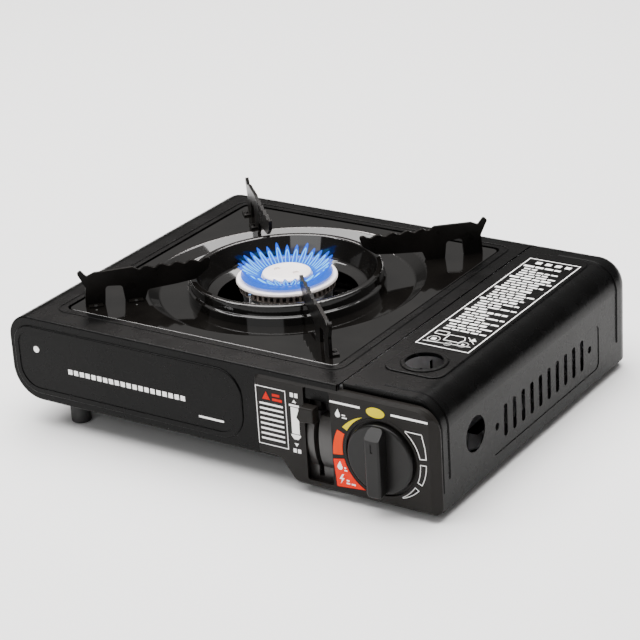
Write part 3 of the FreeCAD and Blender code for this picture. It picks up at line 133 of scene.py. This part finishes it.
# Flames: glow colour and opacity from root (0) to tip (1), and brightness.
FLAME_BASE_COLOUR = (0.01, 0.03, 0.1)
FLAMES = {
    "flame_outer": dict(colours=((0.0, (0.01, 0.13, 1.0)), (0.5, (0.0, 0.07, 0.9)), (1.0, (0.0, 0.02, 0.45))),
                        opacity=((0.0, 0.60), (0.5, 0.45), (1.0, 0.10)), brightness=1.4),
    "flame_core": dict(colours=((0.0, (0.16, 0.72, 1.0)), (0.6, (0.06, 0.52, 1.0)), (1.0, (0.0, 0.16, 0.9))),
                       opacity=((0.0, 1.0), (0.6, 0.95), (1.0, 0.6)), brightness=4.5),
    "flame_glow": dict(colours=((0.0, (0.0, 0.14, 1.0)), (0.6, (0.0, 0.08, 0.9)), (1.0, (0.0, 0.03, 0.6))),
                       opacity=((0.0, 0.60), (0.55, 0.42), (0.85, 0.0)), brightness=1.0),
}
# Nodes whose finish isn't the one of their slot in the record.
SPECIAL_FINISH = {
    # The lever shroud gets the lighter plastic, whose colour is painted sheen.
    "lever_shroud": "lever_shroud_painted_sheen",
    # The slot ring gets the darker copy of the burner alloy.
    "burner_slot_ring": "burner_alloy_darker_copy",
    "pan_support_front_left": "support_enamel",
    "pan_support_front_right": "support_enamel",
    "pan_support_back_left": "support_enamel",
    "pan_support_back_right": "support_enamel",
}

# ---- Prints ----
# Places are (u, v): x and z on the front faces, x and y on the lid. Boxes are (u0, v0, u1, v1).
PRINT_THICK = 0.12
# Round outlines stop here, in degrees, and their last point is joined to the first.
CIRCLE_END = 345
# The drop mark, in radii of its round foot.
DROP_FOOT_UP = 0.9
DROP_FOOT_START, DROP_FOOT_END, DROP_FOOT_STEPS = 160, 380, 12
DROP_TIP = ((0.5, 2.2), (0.1, 3.2), (-0.6, 2.0))

# Control fascia, left of the lever: a frame with a heading and plain bars, and the lever's signs.
SAFETY_FRAME = (36.2, 28.8, 59.4, 70.6)
SAFETY_FRAME_WIDTH = 0.5
SAFETY_BAR_COUNT = 8
SAFETY_BAR_LEFT, SAFETY_BAR_RIGHT = 38.8, 56.8
SAFETY_TOP_BAR, SAFETY_BAR_PITCH, SAFETY_BAR_HEIGHT = 57.8, 3.6, 1.3
SAFETY_TRIANGLE = ((41.2, 61.6), (47.2, 61.6), (44.2, 67.2))
SAFETY_HEADING_BARS = ((49.0, 61.6, 56.4, 63.4), (49.0, 64.8, 54.6, 66.6))
LEVER_BLOCK_LEFTS, LEVER_BLOCK_WIDTH = (63.0, 66.4), 2.4
LEVER_BLOCK_HIGH, LEVER_BLOCK_LOW = (67.4, 70.4), (27.8, 30.6)
LEVER_ARROW_UP = ((64.2, 63.6), (67.4, 63.6), (65.8, 65.8))
LEVER_ARROW_DOWN = ((65.8, 32.2), (67.4, 34.6), (64.2, 34.6))
CARTRIDGE_SIGN_CAP = (61.8, 60.8, 69.4, 62.2)
CARTRIDGE_SIGN_BODY = ((62.9, 60.2), (62.9, 41.4), (68.7, 41.4), (68.7, 60.2))
CARTRIDGE_SIGN_FOOT = ((62.2, 40.8), (62.2, 39.8), (64.2, 37.4), (67.4, 37.4), (69.4, 39.8), (69.4, 40.8))

# Control fascia, round the knob. Bands are (start and end angle, inner radius, outer radius at both ends).
DIAL_X, DIAL_Z = KNOB.x, KNOB.z
TOP_LINES = ((93.1, 69.9, 115.5, 71.3), (138.2, 69.6, 164.6, 71.0))
OUTLINE_WIDTH = 0.55
CORNER_OUTLINE = ((148.0, 61.3), (159.9, 61.2), (162.0, 52.0), (162.6, 44.6))
CORNER_OUTLINE_R, CORNER_OUTLINE_START, CORNER_OUTLINE_END, CORNER_OUTLINE_STEPS = 28.6, 11, 51, 8
OUTLINE_BANDS = ((3, -24, 28.2, 32.5, 31.5), (-33, -60, 28.2, 31.4, 28.8))
BAND_STEPS = 10
LOW_DROP = (98.6, 60.6, 1.8)
LOW_BLOCKS = ((101.8, 60.4, 105.4, 61.2), (101.8, 62.2, 104.2, 63.0))
OFF_OVAL_X, OFF_OVAL_Z = 126.8, 69.4
OFF_OVAL_HALF_WIDTH, OFF_OVAL_HALF_HEIGHT, OFF_OVAL_POINTS = 6.7, 3.5, 36
LOW_BAND = (118, 151, 28.6, 28.8, 32.4)
MEDIUM_BAND = (158, 188, 29.2, 34.8, 36.7)
HIGH_BAND_R, HIGH_BAND_START, HIGH_BAND_END, HIGH_BAND_STEPS = 29.0, 193.5, 243, 12
HIGH_BAND_CORNERS = ((95.4, 10.8), (93.5, 30.0))
HIGH_DROP = (98.2, 23.4, 1.9)
HIGH_DROP_BLOCKS = ((101.4, 23.0, 103.6, 23.8), (101.4, 24.8, 102.8, 25.6))
SPARK = ((99.8, 20.4), (97.4, 16.6), (99.2, 16.6), (98.2, 13.4), (101.2, 17.6), (99.4, 17.6), (101.0, 20.4))
SPARK_BLOCKS = ((102.6, 14.0, 105.2, 15.0), (102.8, 16.0, 104.8, 17.0), (106.4, 14.0, 109.4, 15.0))

# Front panel: one row of equal bars, a dot above its left end and a thin line below its right end.
PANEL_ROW_X, PANEL_ROW_Z = -121.0, 45.6
PANEL_BAR_COUNT, PANEL_BAR_PITCH, PANEL_BAR_SIDE = 20, 5.0, 3.6
DOT_X, DOT_Z, DOT_R, DOT_STEPS = -147.6, 59.0, 2.4, 23
LINE_X, LINE_Z, LINE_LENGTH, LINE_HEIGHT = -12.0, 36.4, 20.0, 1.4

# Lid label: a frame, a row of squares, rows of plain bars and a small diagram. The squares start and end
# this far from the frame's far edge, and a row ends short of its right indent by a random _SHORTER.
LABEL_SEED = 19
LABEL_LEFT, LABEL_NEAR, LABEL_RIGHT, LABEL_FAR = 110.6, -53.4, 150.4, 106.6
LABEL_FRAME_WIDTH = 0.7
SQUARE_COUNT, SQUARE_INDENT, SQUARE_PITCH, SQUARE_WIDTH = 4, 8.0, 7.6, 4.4
SQUARES_START, SQUARES_END = 8.2, 4.4
ROWS_BELOW_FAR, ROWS_ABOVE_NEAR = 12.5, 27.0
ROWS_PER_HEADING = 5
HEADING_INDENT, HEADING_HEIGHT, HEADING_GAP, HEADING_SHORTER = 2.4, 2.4, 2.6, (2, 8)
ROW_INDENT, ROW_HEIGHT, ROW_GAP, ROW_SHORTER = 5.0, 1.7, 2.3, (0, 18)
ROW_RIGHT_INDENT = 3.0
BAR_SHORTEST, BAR_LONGEST, BAR_GAP = 3.0, 9.0, 1.3

# The diagram's shapes, from its lower left corner.
DIAGRAM_ABOVE_NEAR = 3.5
DIAGRAM_LINE, DIAGRAM_THIN_LINE = 0.6, 0.5
DIAGRAM_CAP = ((4, 15), (4, 20), (13, 20), (13, 15))
DIAGRAM_CARTRIDGE = ((14.5, 8), (14.5, 17), (26, 17), (28, 12.5), (26, 8))
DIAGRAM_GROUND = ((3, 2), (36, 5))
DIAGRAM_POINTER = ((36, 10), (28, 18))
DIAGRAM_RINGS = ((8.0, 7.0, 4.2), (30.0, 6.5, 3.6), (20.5, 3.5, 2.4))
DIAGRAM_RING_STEPS = 24
DIAGRAM_HUBS = ((6.4, 5.4, 9.6, 8.6), (29, 5.6, 31, 7.6))
DIAGRAM_ARROW = ((31, 13), (35.5, 14.5), (32.5, 18))

# ---- Flames ----
FLAME_SEED = 3
FLAME_COUNT = 28
FLAME_ROOT_R = 18.8
FLAME_ROOT_SINK = 0.6
FLAME_LENGTH = 17.8
FLAME_LENGTH_SPREAD = (0.88, 1.08)
FLAME_LEAN = math.radians(60)
FLAME_CURL_UP, FLAME_CURL_IN = 0.12, 0.03
FLAME_ROOT_WIDTH, FLAME_WIDEST_AT, FLAME_POINT_POWER = 0.55, 0.45, 2.2
FINGER_HALF_WIDTH, FINGER_LEAST_HALF_WIDTH, FINGER_THICKNESS = 2.25, 0.06, 0.8
FINGER_STEPS, FINGER_SIDES, FINGER_END = 14, 10, 0.985
CONE_LENGTH, CONE_HALF_WIDTH, CONE_RIM_R = 0.78, 1.5, 0.28
CONE_STEPS, CONE_SIDES, CONE_START, CONE_WIDTH_END = 12, 5, 0.04, 0.999
GLOW_R, GLOW_START_INSIDE = 33.0, 0.6
GLOW_AROUND, GLOW_ACROSS = 84, 6
GLOW_ABOVE_CAP, GLOW_THICK, GLOW_RISE = 0.3, 0.35, 1.6


# ---- Camera and stage ----
def make_camera():
    a, e = CAMERA_AZIMUTH, CAMERA_ELEVATION
    back = Vector((math.sin(a) * math.cos(e), -math.cos(a) * math.cos(e), math.sin(e)))
    right = (-back).cross(Vector((0, 0, 1))).normalized()
    up = right.cross(-back)
    x_axis = math.cos(CAMERA_ROLL) * right + math.sin(CAMERA_ROLL) * up
    y_axis = -math.sin(CAMERA_ROLL) * right + math.cos(CAMERA_ROLL) * up
    camera = bpy.data.objects.new("camera", bpy.data.cameras.new("camera"))
    bpy.context.scene.collection.objects.link(camera)
    turn = Matrix((x_axis, y_axis, back)).transposed().to_4x4()
    camera.matrix_world = Matrix.Translation((CAMERA_TARGET + back * CAMERA_DISTANCE) * MM) @ turn
    camera.data.lens = CAMERA_LENS
    camera.data.clip_end = CAMERA_CLIP_END_M
    bpy.context.scene.camera = camera


def area_light(name, place, target, size, power, colour):
    data = bpy.data.lights.new(name, "AREA")
    data.shape = "RECTANGLE"
    data.size, data.size_y = size
    data.energy = power
    data.color = colour
    light = bpy.data.objects.new(name, data)
    bpy.context.scene.collection.objects.link(light)
    light.location = place
    light.rotation_mode = "QUATERNION"
    light.rotation_quaternion = (Vector(target) - Vector(place)).to_track_quat("-Z", "Y")


def make_world():
    """A studio that is dark at the horizon and bright overhead."""
    world = bpy.data.worlds.new("studio")
    bpy.context.scene.world = world
    world.use_nodes = True
    tree = world.node_tree
    backdrop = tree.nodes["Background"]
    coords = tree.nodes.new("ShaderNodeTexCoord")
    split = tree.nodes.new("ShaderNodeSeparateXYZ")
    tree.links.new(coords.outputs["Generated"], split.inputs["Vector"])
    tree.links.new(ramp(tree, split.outputs["Z"], SKY), backdrop.inputs["Color"])
    backdrop.inputs["Strength"].default_value = 1.0


def make_stage():
    make_world()
    for light in LIGHTS:
        area_light(*light)
    mesh = bpy.data.meshes.new("floor")
    work = bmesh.new()
    bmesh.ops.create_grid(work, x_segments=FLOOR_CELLS, y_segments=FLOOR_CELLS, size=FLOOR_HALF_SIDE)
    work.to_mesh(mesh)
    work.free()
    floor = bpy.data.objects.new("floor", mesh)
    bpy.context.scene.collection.objects.link(floor)
    floor.location.z = FLOOR_HEIGHT
    material, _, shader = new_material("pale_floor")
    shader.inputs["Base Color"].default_value = (*FLOOR_COLOUR, 1)
    shader.inputs["Roughness"].default_value = FLOOR_ROUGHNESS
    floor.data.materials.append(material)


# ---- Materials ----
def new_material(name):
    material = bpy.data.materials.new(name)
    material.use_nodes = True
    tree = material.node_tree
    return material, tree, tree.nodes["Principled BSDF"]


def noise(tree, scale, detail):
    coords = tree.nodes.new("ShaderNodeTexCoord")
    node = tree.nodes.new("ShaderNodeTexNoise")
    node.inputs["Scale"].default_value = scale
    node.inputs["Detail"].default_value = detail
    tree.links.new(coords.outputs["Object"], node.inputs["Vector"])
    return node.outputs["Fac"]


def ramp(tree, source, stops):
    node = tree.nodes.new("ShaderNodeValToRGB")
    elements = node.color_ramp.elements
    while len(elements) < len(stops):
        elements.new(0.5)
    for element, (place, colour) in zip(elements, stops):
        element.position = place
        element.color = (*colour, 1)
    tree.links.new(source, node.inputs["Fac"])
    return node.outputs["Color"]


def to_range(tree, source, low, high):
    node = tree.nodes.new("ShaderNodeMapRange")
    node.inputs["From Min"].default_value = NOISE_LOW
    node.inputs["From Max"].default_value = NOISE_HIGH
    node.inputs["To Min"].default_value = low
    node.inputs["To Max"].default_value = high
    tree.links.new(source, node.inputs["Value"])
    return node.outputs["Result"]


def bump(tree, shader, height, strength, distance):
    node = tree.nodes.new("ShaderNodeBump")
    node.inputs["Strength"].default_value = strength
    node.inputs["Distance"].default_value = distance
    tree.links.new(height, node.inputs["Height"])
    tree.links.new(node.outputs["Normal"], shader.inputs["Normal"])


def coated(name, dark, light, rough, coat=0.0, coat_rough=0.1, grain=900, grain_depth=0.00003, strength=0.25,
           metallic=0.0, specular=0.5):
    """Metal, paint, enamel, print or plastic: faint mottling in colour and gloss over a fine grain."""
    material, tree, shader = new_material(name)
    mottled = noise(tree, MOTTLE_SCALE, MOTTLE_DETAIL)
    colour = ramp(tree, mottled, ((NOISE_LOW, dark), (NOISE_HIGH, light)))
    tree.links.new(colour, shader.inputs["Base Color"])
    gloss = noise(tree, GLOSS_SCALE, GLOSS_DETAIL)
    tree.links.new(to_range(tree, gloss, *rough), shader.inputs["Roughness"])
    shader.inputs["Metallic"].default_value = metallic
    shader.inputs["Specular IOR Level"].default_value = specular
    shader.inputs["Coat Weight"].default_value = coat
    shader.inputs["Coat Roughness"].default_value = coat_rough
    bump(tree, shader, noise(tree, grain, GRAIN_DETAIL), strength, grain_depth)
    return material


def flame_material(name, colours, opacity, brightness):
    """Glowing gas whose colour and opacity follow the mesh's own heat attribute."""
    material, tree, shader = new_material(name)
    heat = tree.nodes.new("ShaderNodeAttribute")
    heat.attribute_name = "heat"
    shader.inputs["Base Color"].default_value = (*FLAME_BASE_COLOUR, 1)
    shader.inputs["Roughness"].default_value = 1.0
    shader.inputs["Specular IOR Level"].default_value = 0.0
    shader.inputs["Emission Strength"].default_value = brightness
    greys = [(place, (value, value, value)) for place, value in opacity]
    tree.links.new(ramp(tree, heat.outputs["Fac"], colours), shader.inputs["Emission Color"])
    tree.links.new(ramp(tree, heat.outputs["Fac"], greys), shader.inputs["Alpha"])
    return material


def make_materials():
    materials = {name: coated(name, **look) for name, look in COATED.items()}
    for name, look in FLAMES.items():
        materials[name] = flame_material(name, **look)
    return materials


def paint_cad_nodes(materials):
    slot_of = {s["node"]: s["material_slot"] for s in frame["record"]["subparts"]}
    for node, part in frame["nodes"].items():
        part.data.materials.clear()
        part.data.materials.append(materials[SPECIAL_FINISH.get(node, slot_of[node])])


# ---- Building pieces ----
def piece_from(work, name, material, body, smooth=True):
    """Turns a bmesh in millimetres into a piece that rides on a body."""
    mesh = bpy.data.meshes.new(name)
    bmesh.ops.recalc_face_normals(work, faces=work.faces)
    work.to_mesh(mesh)
    work.free()
    mesh.transform(Matrix.Scale(MM, 4))
    for polygon in mesh.polygons:
        polygon.use_smooth = smooth
    mesh.materials.append(material)
    piece = bpy.data.objects.new(name, mesh)
    bpy.context.scene.collection.objects.link(piece)
    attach(piece, body)


def join_rings(work, low, high):
    """Quads between two rings with the same number of points."""
    count = len(low)
    for i in range(count):
        j = (i + 1) % count
        work.faces.new((low[i], low[j], high[j], high[i]))


def add_print(work, outline, place):
    """Adds a thin raised print; outline is a list of (u, v), place turns (u, v, lift) into a point."""
    low = [work.verts.new(place(u, v, 0.0)) for u, v in outline]
    high = [work.verts.new(place(u, v, PRINT_THICK)) for u, v in outline]
    work.faces.new(high)
    work.faces.new(list(reversed(low)))
    join_rings(work, low, high)


def print_piece(name, outlines, place, material, body):
    work = bmesh.new()
    for outline in outlines:
        add_print(work, outline, place)
    piece_from(work, name, material, body, smooth=False)


def on_front(face_y):
    return lambda u, v, lift: Vector((u, face_y - lift, v))


def on_top(face_z):
    return lambda u, v, lift: Vector((u, v, face_z + lift))


# ---- Outlines ----
def rect(u0, v0, u1, v1):
    return [(u0, v0), (u1, v0), (u1, v1), (u0, v1)]


def rects(boxes):
    return [rect(*box) for box in boxes]


def rect_frame(u0, v0, u1, v1, width):
    """Four bars that outline a rectangle."""
    return [rect(u0, v0, u1, v0 + width), rect(u0, v1 - width, u1, v1),
            rect(u0, v0 + width, u0 + width, v1 - width), rect(u1 - width, v0 + width, u1, v1 - width)]


def arc_points(cu, cv, r, start, end, steps):
    points = []
    for i in range(steps + 1):
        a = math.radians(start + (end - start) * i / steps)
        points.append((cu + r * math.cos(a), cv + r * math.sin(a)))
    return points


def stroke(points, width, closed=False):
    """Quads that draw a line of one width along points."""
    quads = []
    count = len(points)
    last = count if closed else count - 1
    for i in range(last):
        a = Vector(points[i])
        b = Vector(points[(i + 1) % count])
        along = (b - a).normalized()
        side = Vector((-along.y, along.x)) * width / 2
        reach = along * width / 2
        corners = (a - reach - side, b + reach - side, b + reach + side, a - reach + side)
        quads.append([tuple(corner) for corner in corners])
    return quads


def drop(u, v, r):
    """A small flame-shaped mark: a round foot and a pointed tip."""
    foot = arc_points(u, v + r * DROP_FOOT_UP, r, DROP_FOOT_START, DROP_FOOT_END, DROP_FOOT_STEPS)
    return foot + [(u + r * across, v + r * up) for across, up in DROP_TIP]


def dial_band(start, end, inner, outer_start, outer_end):
    """A band round the knob whose outer edge runs from one radius to another."""
    rim = []
    for i in range(BAND_STEPS + 1):
        t = i / BAND_STEPS
        a = math.radians(start + (end - start) * t)
        r = outer_start + (outer_end - outer_start) * t
        rim.append((DIAL_X + r * math.cos(a), DIAL_Z + r * math.sin(a)))
    return rim + arc_points(DIAL_X, DIAL_Z, inner, end, start, BAND_STEPS)


# ---- Prints on the control fascia ----
def safety_marks():
    """The frame with its bars, and the signs beside the lever."""
    marks = rect_frame(*SAFETY_FRAME, SAFETY_FRAME_WIDTH)
    for row in range(SAFETY_BAR_COUNT):
        z = SAFETY_TOP_BAR - row * SAFETY_BAR_PITCH
        marks.append(rect(SAFETY_BAR_LEFT, z, SAFETY_BAR_RIGHT, z + SAFETY_BAR_HEIGHT))
    for x in LEVER_BLOCK_LEFTS:
        for z0, z1 in (LEVER_BLOCK_HIGH, LEVER_BLOCK_LOW):
            marks.append(rect(x, z0, x + LEVER_BLOCK_WIDTH, z1))
    marks += [LEVER_ARROW_UP, LEVER_ARROW_DOWN]
    marks += [rect(*CARTRIDGE_SIGN_CAP), CARTRIDGE_SIGN_BODY, CARTRIDGE_SIGN_FOOT]
    return marks


def dial_marks():
    """The white lines above the knob, the outlined bands to its right and the mark for a small flame."""
    marks = rects(TOP_LINES)
    corner = list(CORNER_OUTLINE) + arc_points(DIAL_X, DIAL_Z, CORNER_OUTLINE_R, CORNER_OUTLINE_START,
                                               CORNER_OUTLINE_END, CORNER_OUTLINE_STEPS)
    for band in [corner] + [dial_band(*sizes) for sizes in OUTLINE_BANDS]:
        marks += stroke(band, OUTLINE_WIDTH, closed=True)
    marks.append(drop(*LOW_DROP))
    return marks + rects(LOW_BLOCKS)


def off_oval():
    turns = (2 * math.pi * i / OFF_OVAL_POINTS for i in range(OFF_OVAL_POINTS))
    return [(OFF_OVAL_X + OFF_OVAL_HALF_WIDTH * math.cos(a), OFF_OVAL_Z + OFF_OVAL_HALF_HEIGHT * math.sin(a))
            for a in turns]


def fascia_prints(materials):
    face = on_front(FASCIA_FACE)
    print_piece("fascia_marks_white", safety_marks() + dial_marks(), face, materials["white_print"], "root")
    heading = [SAFETY_TRIANGLE] + rects(SAFETY_HEADING_BARS)
    print_piece("fascia_heading_red", heading, face, materials["red_print"], "root")
    print_piece("fascia_off_mark", [off_oval()], face, materials["yellow_print"], "root")
    print_piece("fascia_low_band", [dial_band(*LOW_BAND)], face, materials["yellow_print"], "root")
    print_piece("fascia_medium_band", [dial_band(*MEDIUM_BAND)], face, materials["orange_print"], "root")
    high = arc_points(DIAL_X, DIAL_Z, HIGH_BAND_R, HIGH_BAND_START, HIGH_BAND_END, HIGH_BAND_STEPS)
    high += HIGH_BAND_CORNERS
    print_piece("fascia_high_band", [high], face, materials["deep_red_print"], "root")
    above = on_front(FASCIA_FACE - PRINT_THICK)
    marks = [drop(*HIGH_DROP)] + rects(HIGH_DROP_BLOCKS) + [SPARK] + rects(SPARK_BLOCKS)
    print_piece("fascia_high_marks", marks, above, materials["white_print"], "root")


# ---- Prints on the front panel ----
def front_prints(materials):
    marks = []
    for i in range(PANEL_BAR_COUNT):
        u = PANEL_ROW_X + i * PANEL_BAR_PITCH
        marks.append(rect(u, PANEL_ROW_Z, u + PANEL_BAR_SIDE, PANEL_ROW_Z + PANEL_BAR_SIDE))
    marks.append(arc_points(DOT_X, DOT_Z, DOT_R, 0, CIRCLE_END, DOT_STEPS))
    marks.append(rect(LINE_X, LINE_Z, LINE_X + LINE_LENGTH, LINE_Z + LINE_HEIGHT))
    print_piece("front_marks", marks, on_front(PANEL_FACE), materials["white_print"], "root")


# ---- Label on the lid ----
def bar_row(u0, v0, u1, height, rng):
    """Plain bars of uneven length that stand in for a line of print."""
    bars = []
    u = u0
    while u < u1 - BAR_SHORTEST:
        width = min(rng.uniform(BAR_SHORTEST, BAR_LONGEST), u1 - u)
        bars.append(rect(u, v0, u + width, v0 + height))
        u += width + BAR_GAP
    return bars


def label_rows(rng):
    """Rows of bars from the far end down; a taller row starts each group, and every other row is ragged."""
    bars = []
    v = LABEL_FAR - ROWS_BELOW_FAR
    row = 0
    while v > LABEL_NEAR + ROWS_ABOVE_NEAR:
        if row % ROWS_PER_HEADING == 0:
            indent, height, gap = HEADING_INDENT, HEADING_HEIGHT, HEADING_GAP
            shorter = rng.uniform(*HEADING_SHORTER)
        else:
            indent, height, gap = ROW_INDENT, ROW_HEIGHT, ROW_GAP
            shorter = rng.uniform(*ROW_SHORTER) * (row % 2)
        reach = LABEL_RIGHT - ROW_RIGHT_INDENT - shorter
        bars += bar_row(LABEL_LEFT + indent, v - height, reach, height, rng)
        v -= height + gap
        row += 1
    return bars


def label_diagram():
    """A plain sign: a cap, a cartridge, two lines, three rings with two square hubs, and an arrow."""
    left, low = LABEL_LEFT, LABEL_NEAR + DIAGRAM_ABOVE_NEAR

    def placed(points):
        return [(left + u, low + v) for u, v in points]

    marks = stroke(placed(DIAGRAM_CAP), DIAGRAM_LINE, closed=True)
    marks += stroke(placed(DIAGRAM_CARTRIDGE), DIAGRAM_LINE, closed=True)
    marks += stroke(placed(DIAGRAM_GROUND), DIAGRAM_THIN_LINE)
    marks += stroke(placed(DIAGRAM_POINTER), DIAGRAM_THIN_LINE)
    for u, v, r in DIAGRAM_RINGS:
        ring = arc_points(left + u, low + v, r, 0, CIRCLE_END, DIAGRAM_RING_STEPS)
        marks += stroke(ring, DIAGRAM_THIN_LINE, closed=True)
    marks += [placed(rect(*hub)) for hub in DIAGRAM_HUBS]
    marks.append(placed(DIAGRAM_ARROW))
    return marks


def lid_label(materials):
    shapes = rect_frame(LABEL_LEFT, LABEL_NEAR, LABEL_RIGHT, LABEL_FAR, LABEL_FRAME_WIDTH)
    for i in range(SQUARE_COUNT):
        u = LABEL_LEFT + SQUARE_INDENT + i * SQUARE_PITCH
        shapes.append(rect(u, LABEL_FAR - SQUARES_START, u + SQUARE_WIDTH, LABEL_FAR - SQUARES_END))
    shapes += label_rows(random.Random(LABEL_SEED))
    shapes += label_diagram()
    print_piece("lid_label", shapes, on_top(LID_FACE), materials["white_print"], "lid")


# ---- Flames ----
def flame_frame(index):
    """Start point, long axis, tangent and outward direction of one flame."""
    a = 2 * math.pi * (index + 0.5) / FLAME_COUNT
    out = Vector((math.cos(a), math.sin(a), 0))
    tangent = Vector((-math.sin(a), math.cos(a), 0))
    start = Vector((BURNER.x, BURNER.y, BURNER_TOP - FLAME_ROOT_SINK)) + out * FLAME_ROOT_R
    axis = out * math.sin(FLAME_LEAN) + Vector((0, 0, math.cos(FLAME_LEAN)))
    return start, axis, tangent, out


def flame_half_width(t, widest):
    """Half width of a flame at t from root (0) to tip (1)."""
    swell = math.sin(min(t / FLAME_WIDEST_AT, 1.0) * math.pi / 2)
    root = FLAME_ROOT_WIDTH + (1 - FLAME_ROOT_WIDTH) * swell
    return widest * root * math.sqrt(max(0.0, 1 - t ** FLAME_POINT_POWER))


def flame_centre(start, axis, out, length, t):
    """The flame curls up as it leaves the burner."""
    return start + axis * length * t + Vector((0, 0, 1)) * length * FLAME_CURL_UP * t * t \
        - out * length * FLAME_CURL_IN * t * t


def ring_at(work, layer, centre, wide, deep, sides, t):
    """One closed ring of points round centre, with its heat."""
    ring = []
    for k in range(sides):
        b = 2 * math.pi * k / sides
        vertex = work.verts.new(centre + wide * math.cos(b) + deep * math.sin(b))
        vertex[layer] = t
        ring.append(vertex)
    return ring


def add_finger(work, layer, start, axis, tangent, out, length):
    """The soft outer body of one flame."""
    normal = tangent.cross(axis)
    rings = []
    for i in range(FINGER_STEPS):
        t = i / (FINGER_STEPS - 1) * FINGER_END
        centre = flame_centre(start, axis, out, length, t)
        half = max(flame_half_width(t, FINGER_HALF_WIDTH), FINGER_LEAST_HALF_WIDTH)
        deep = normal * half * FINGER_THICKNESS
        rings.append(ring_at(work, layer, centre, tangent * half, deep, FINGER_SIDES, t))
    for low, high in zip(rings, rings[1:]):
        join_rings(work, low, high)
    work.faces.new(list(reversed(rings[0])))
    work.faces.new(rings[-1])


def add_cone_rim(work, layer, start, axis, tangent, out, length):
    """A thin bright rim that follows the outline of the inner flame cone."""
    outline = []
    up_and_back = [(1, i) for i in range(CONE_STEPS + 1)] + [(-1, i) for i in range(CONE_STEPS - 1, 0, -1)]
    for side, i in up_and_back:
        t = CONE_START + (1 - CONE_START) * i / CONE_STEPS
        half = flame_half_width(min(t, CONE_WIDTH_END), CONE_HALF_WIDTH) * side
        outline.append((flame_centre(start, axis, out, length, t) + tangent * half, t))
    normal = tangent.cross(axis)
    rings = []
    for i, (point, t) in enumerate(outline):
        ahead = outline[(i + 1) % len(outline)][0] - outline[i - 1][0]
        side_way = ahead.normalized().cross(normal)
        rings.append(ring_at(work, layer, point, side_way * CONE_RIM_R, normal * CONE_RIM_R, CONE_SIDES, t))
    for low, high in zip(rings, rings[1:] + rings[:1]):
        join_rings(work, low, high)


def flame_glow():
    """A thin shallow cone of glowing gas between the hub and the edge of the cap."""
    work = bmesh.new()
    layer = work.verts.layers.float.new("heat")
    outward = [i / (GLOW_ACROSS - 1) for i in range(GLOW_ACROSS)]
    inward = [1 - t for t in outward]
    rings = []
    for lift, way in ((0.0, outward), (GLOW_THICK, inward)):
        for t in way:
            r = FLAME_ROOT_R - GLOW_START_INSIDE + (GLOW_R - FLAME_ROOT_R) * t
            centre = Vector((BURNER.x, BURNER.y, BURNER_TOP + GLOW_ABOVE_CAP + lift + GLOW_RISE * t))
            rings.append(ring_at(work, layer, centre, Vector((r, 0, 0)), Vector((0, r, 0)), GLOW_AROUND, t))
    for low, high in zip(rings, rings[1:] + rings[:1]):
        join_rings(work, low, high)
    return work


def make_flames(materials):
    rng = random.Random(FLAME_SEED)
    outer, core = bmesh.new(), bmesh.new()
    outer_heat = outer.verts.layers.float.new("heat")
    core_heat = core.verts.layers.float.new("heat")
    for index in range(FLAME_COUNT):
        start, axis, tangent, out = flame_frame(index)
        length = FLAME_LENGTH * rng.uniform(*FLAME_LENGTH_SPREAD)
        add_finger(outer, outer_heat, start, axis, tangent, out, length)
        add_cone_rim(core, core_heat, start, axis, tangent, out, length * CONE_LENGTH)
    piece_from(outer, "flame_tongues", materials["flame_outer"], "root")
    piece_from(core, "flame_cones", materials["flame_core"], "root")
    piece_from(flame_glow(), "flame_glow", materials["flame_glow"], "root")


# ---- Main ----
make_camera()
make_stage()
MATERIALS = make_materials()
paint_cad_nodes(MATERIALS)
fascia_prints(MATERIALS)
front_prints(MATERIALS)
lid_label(MATERIALS)
make_flames(MATERIALS)
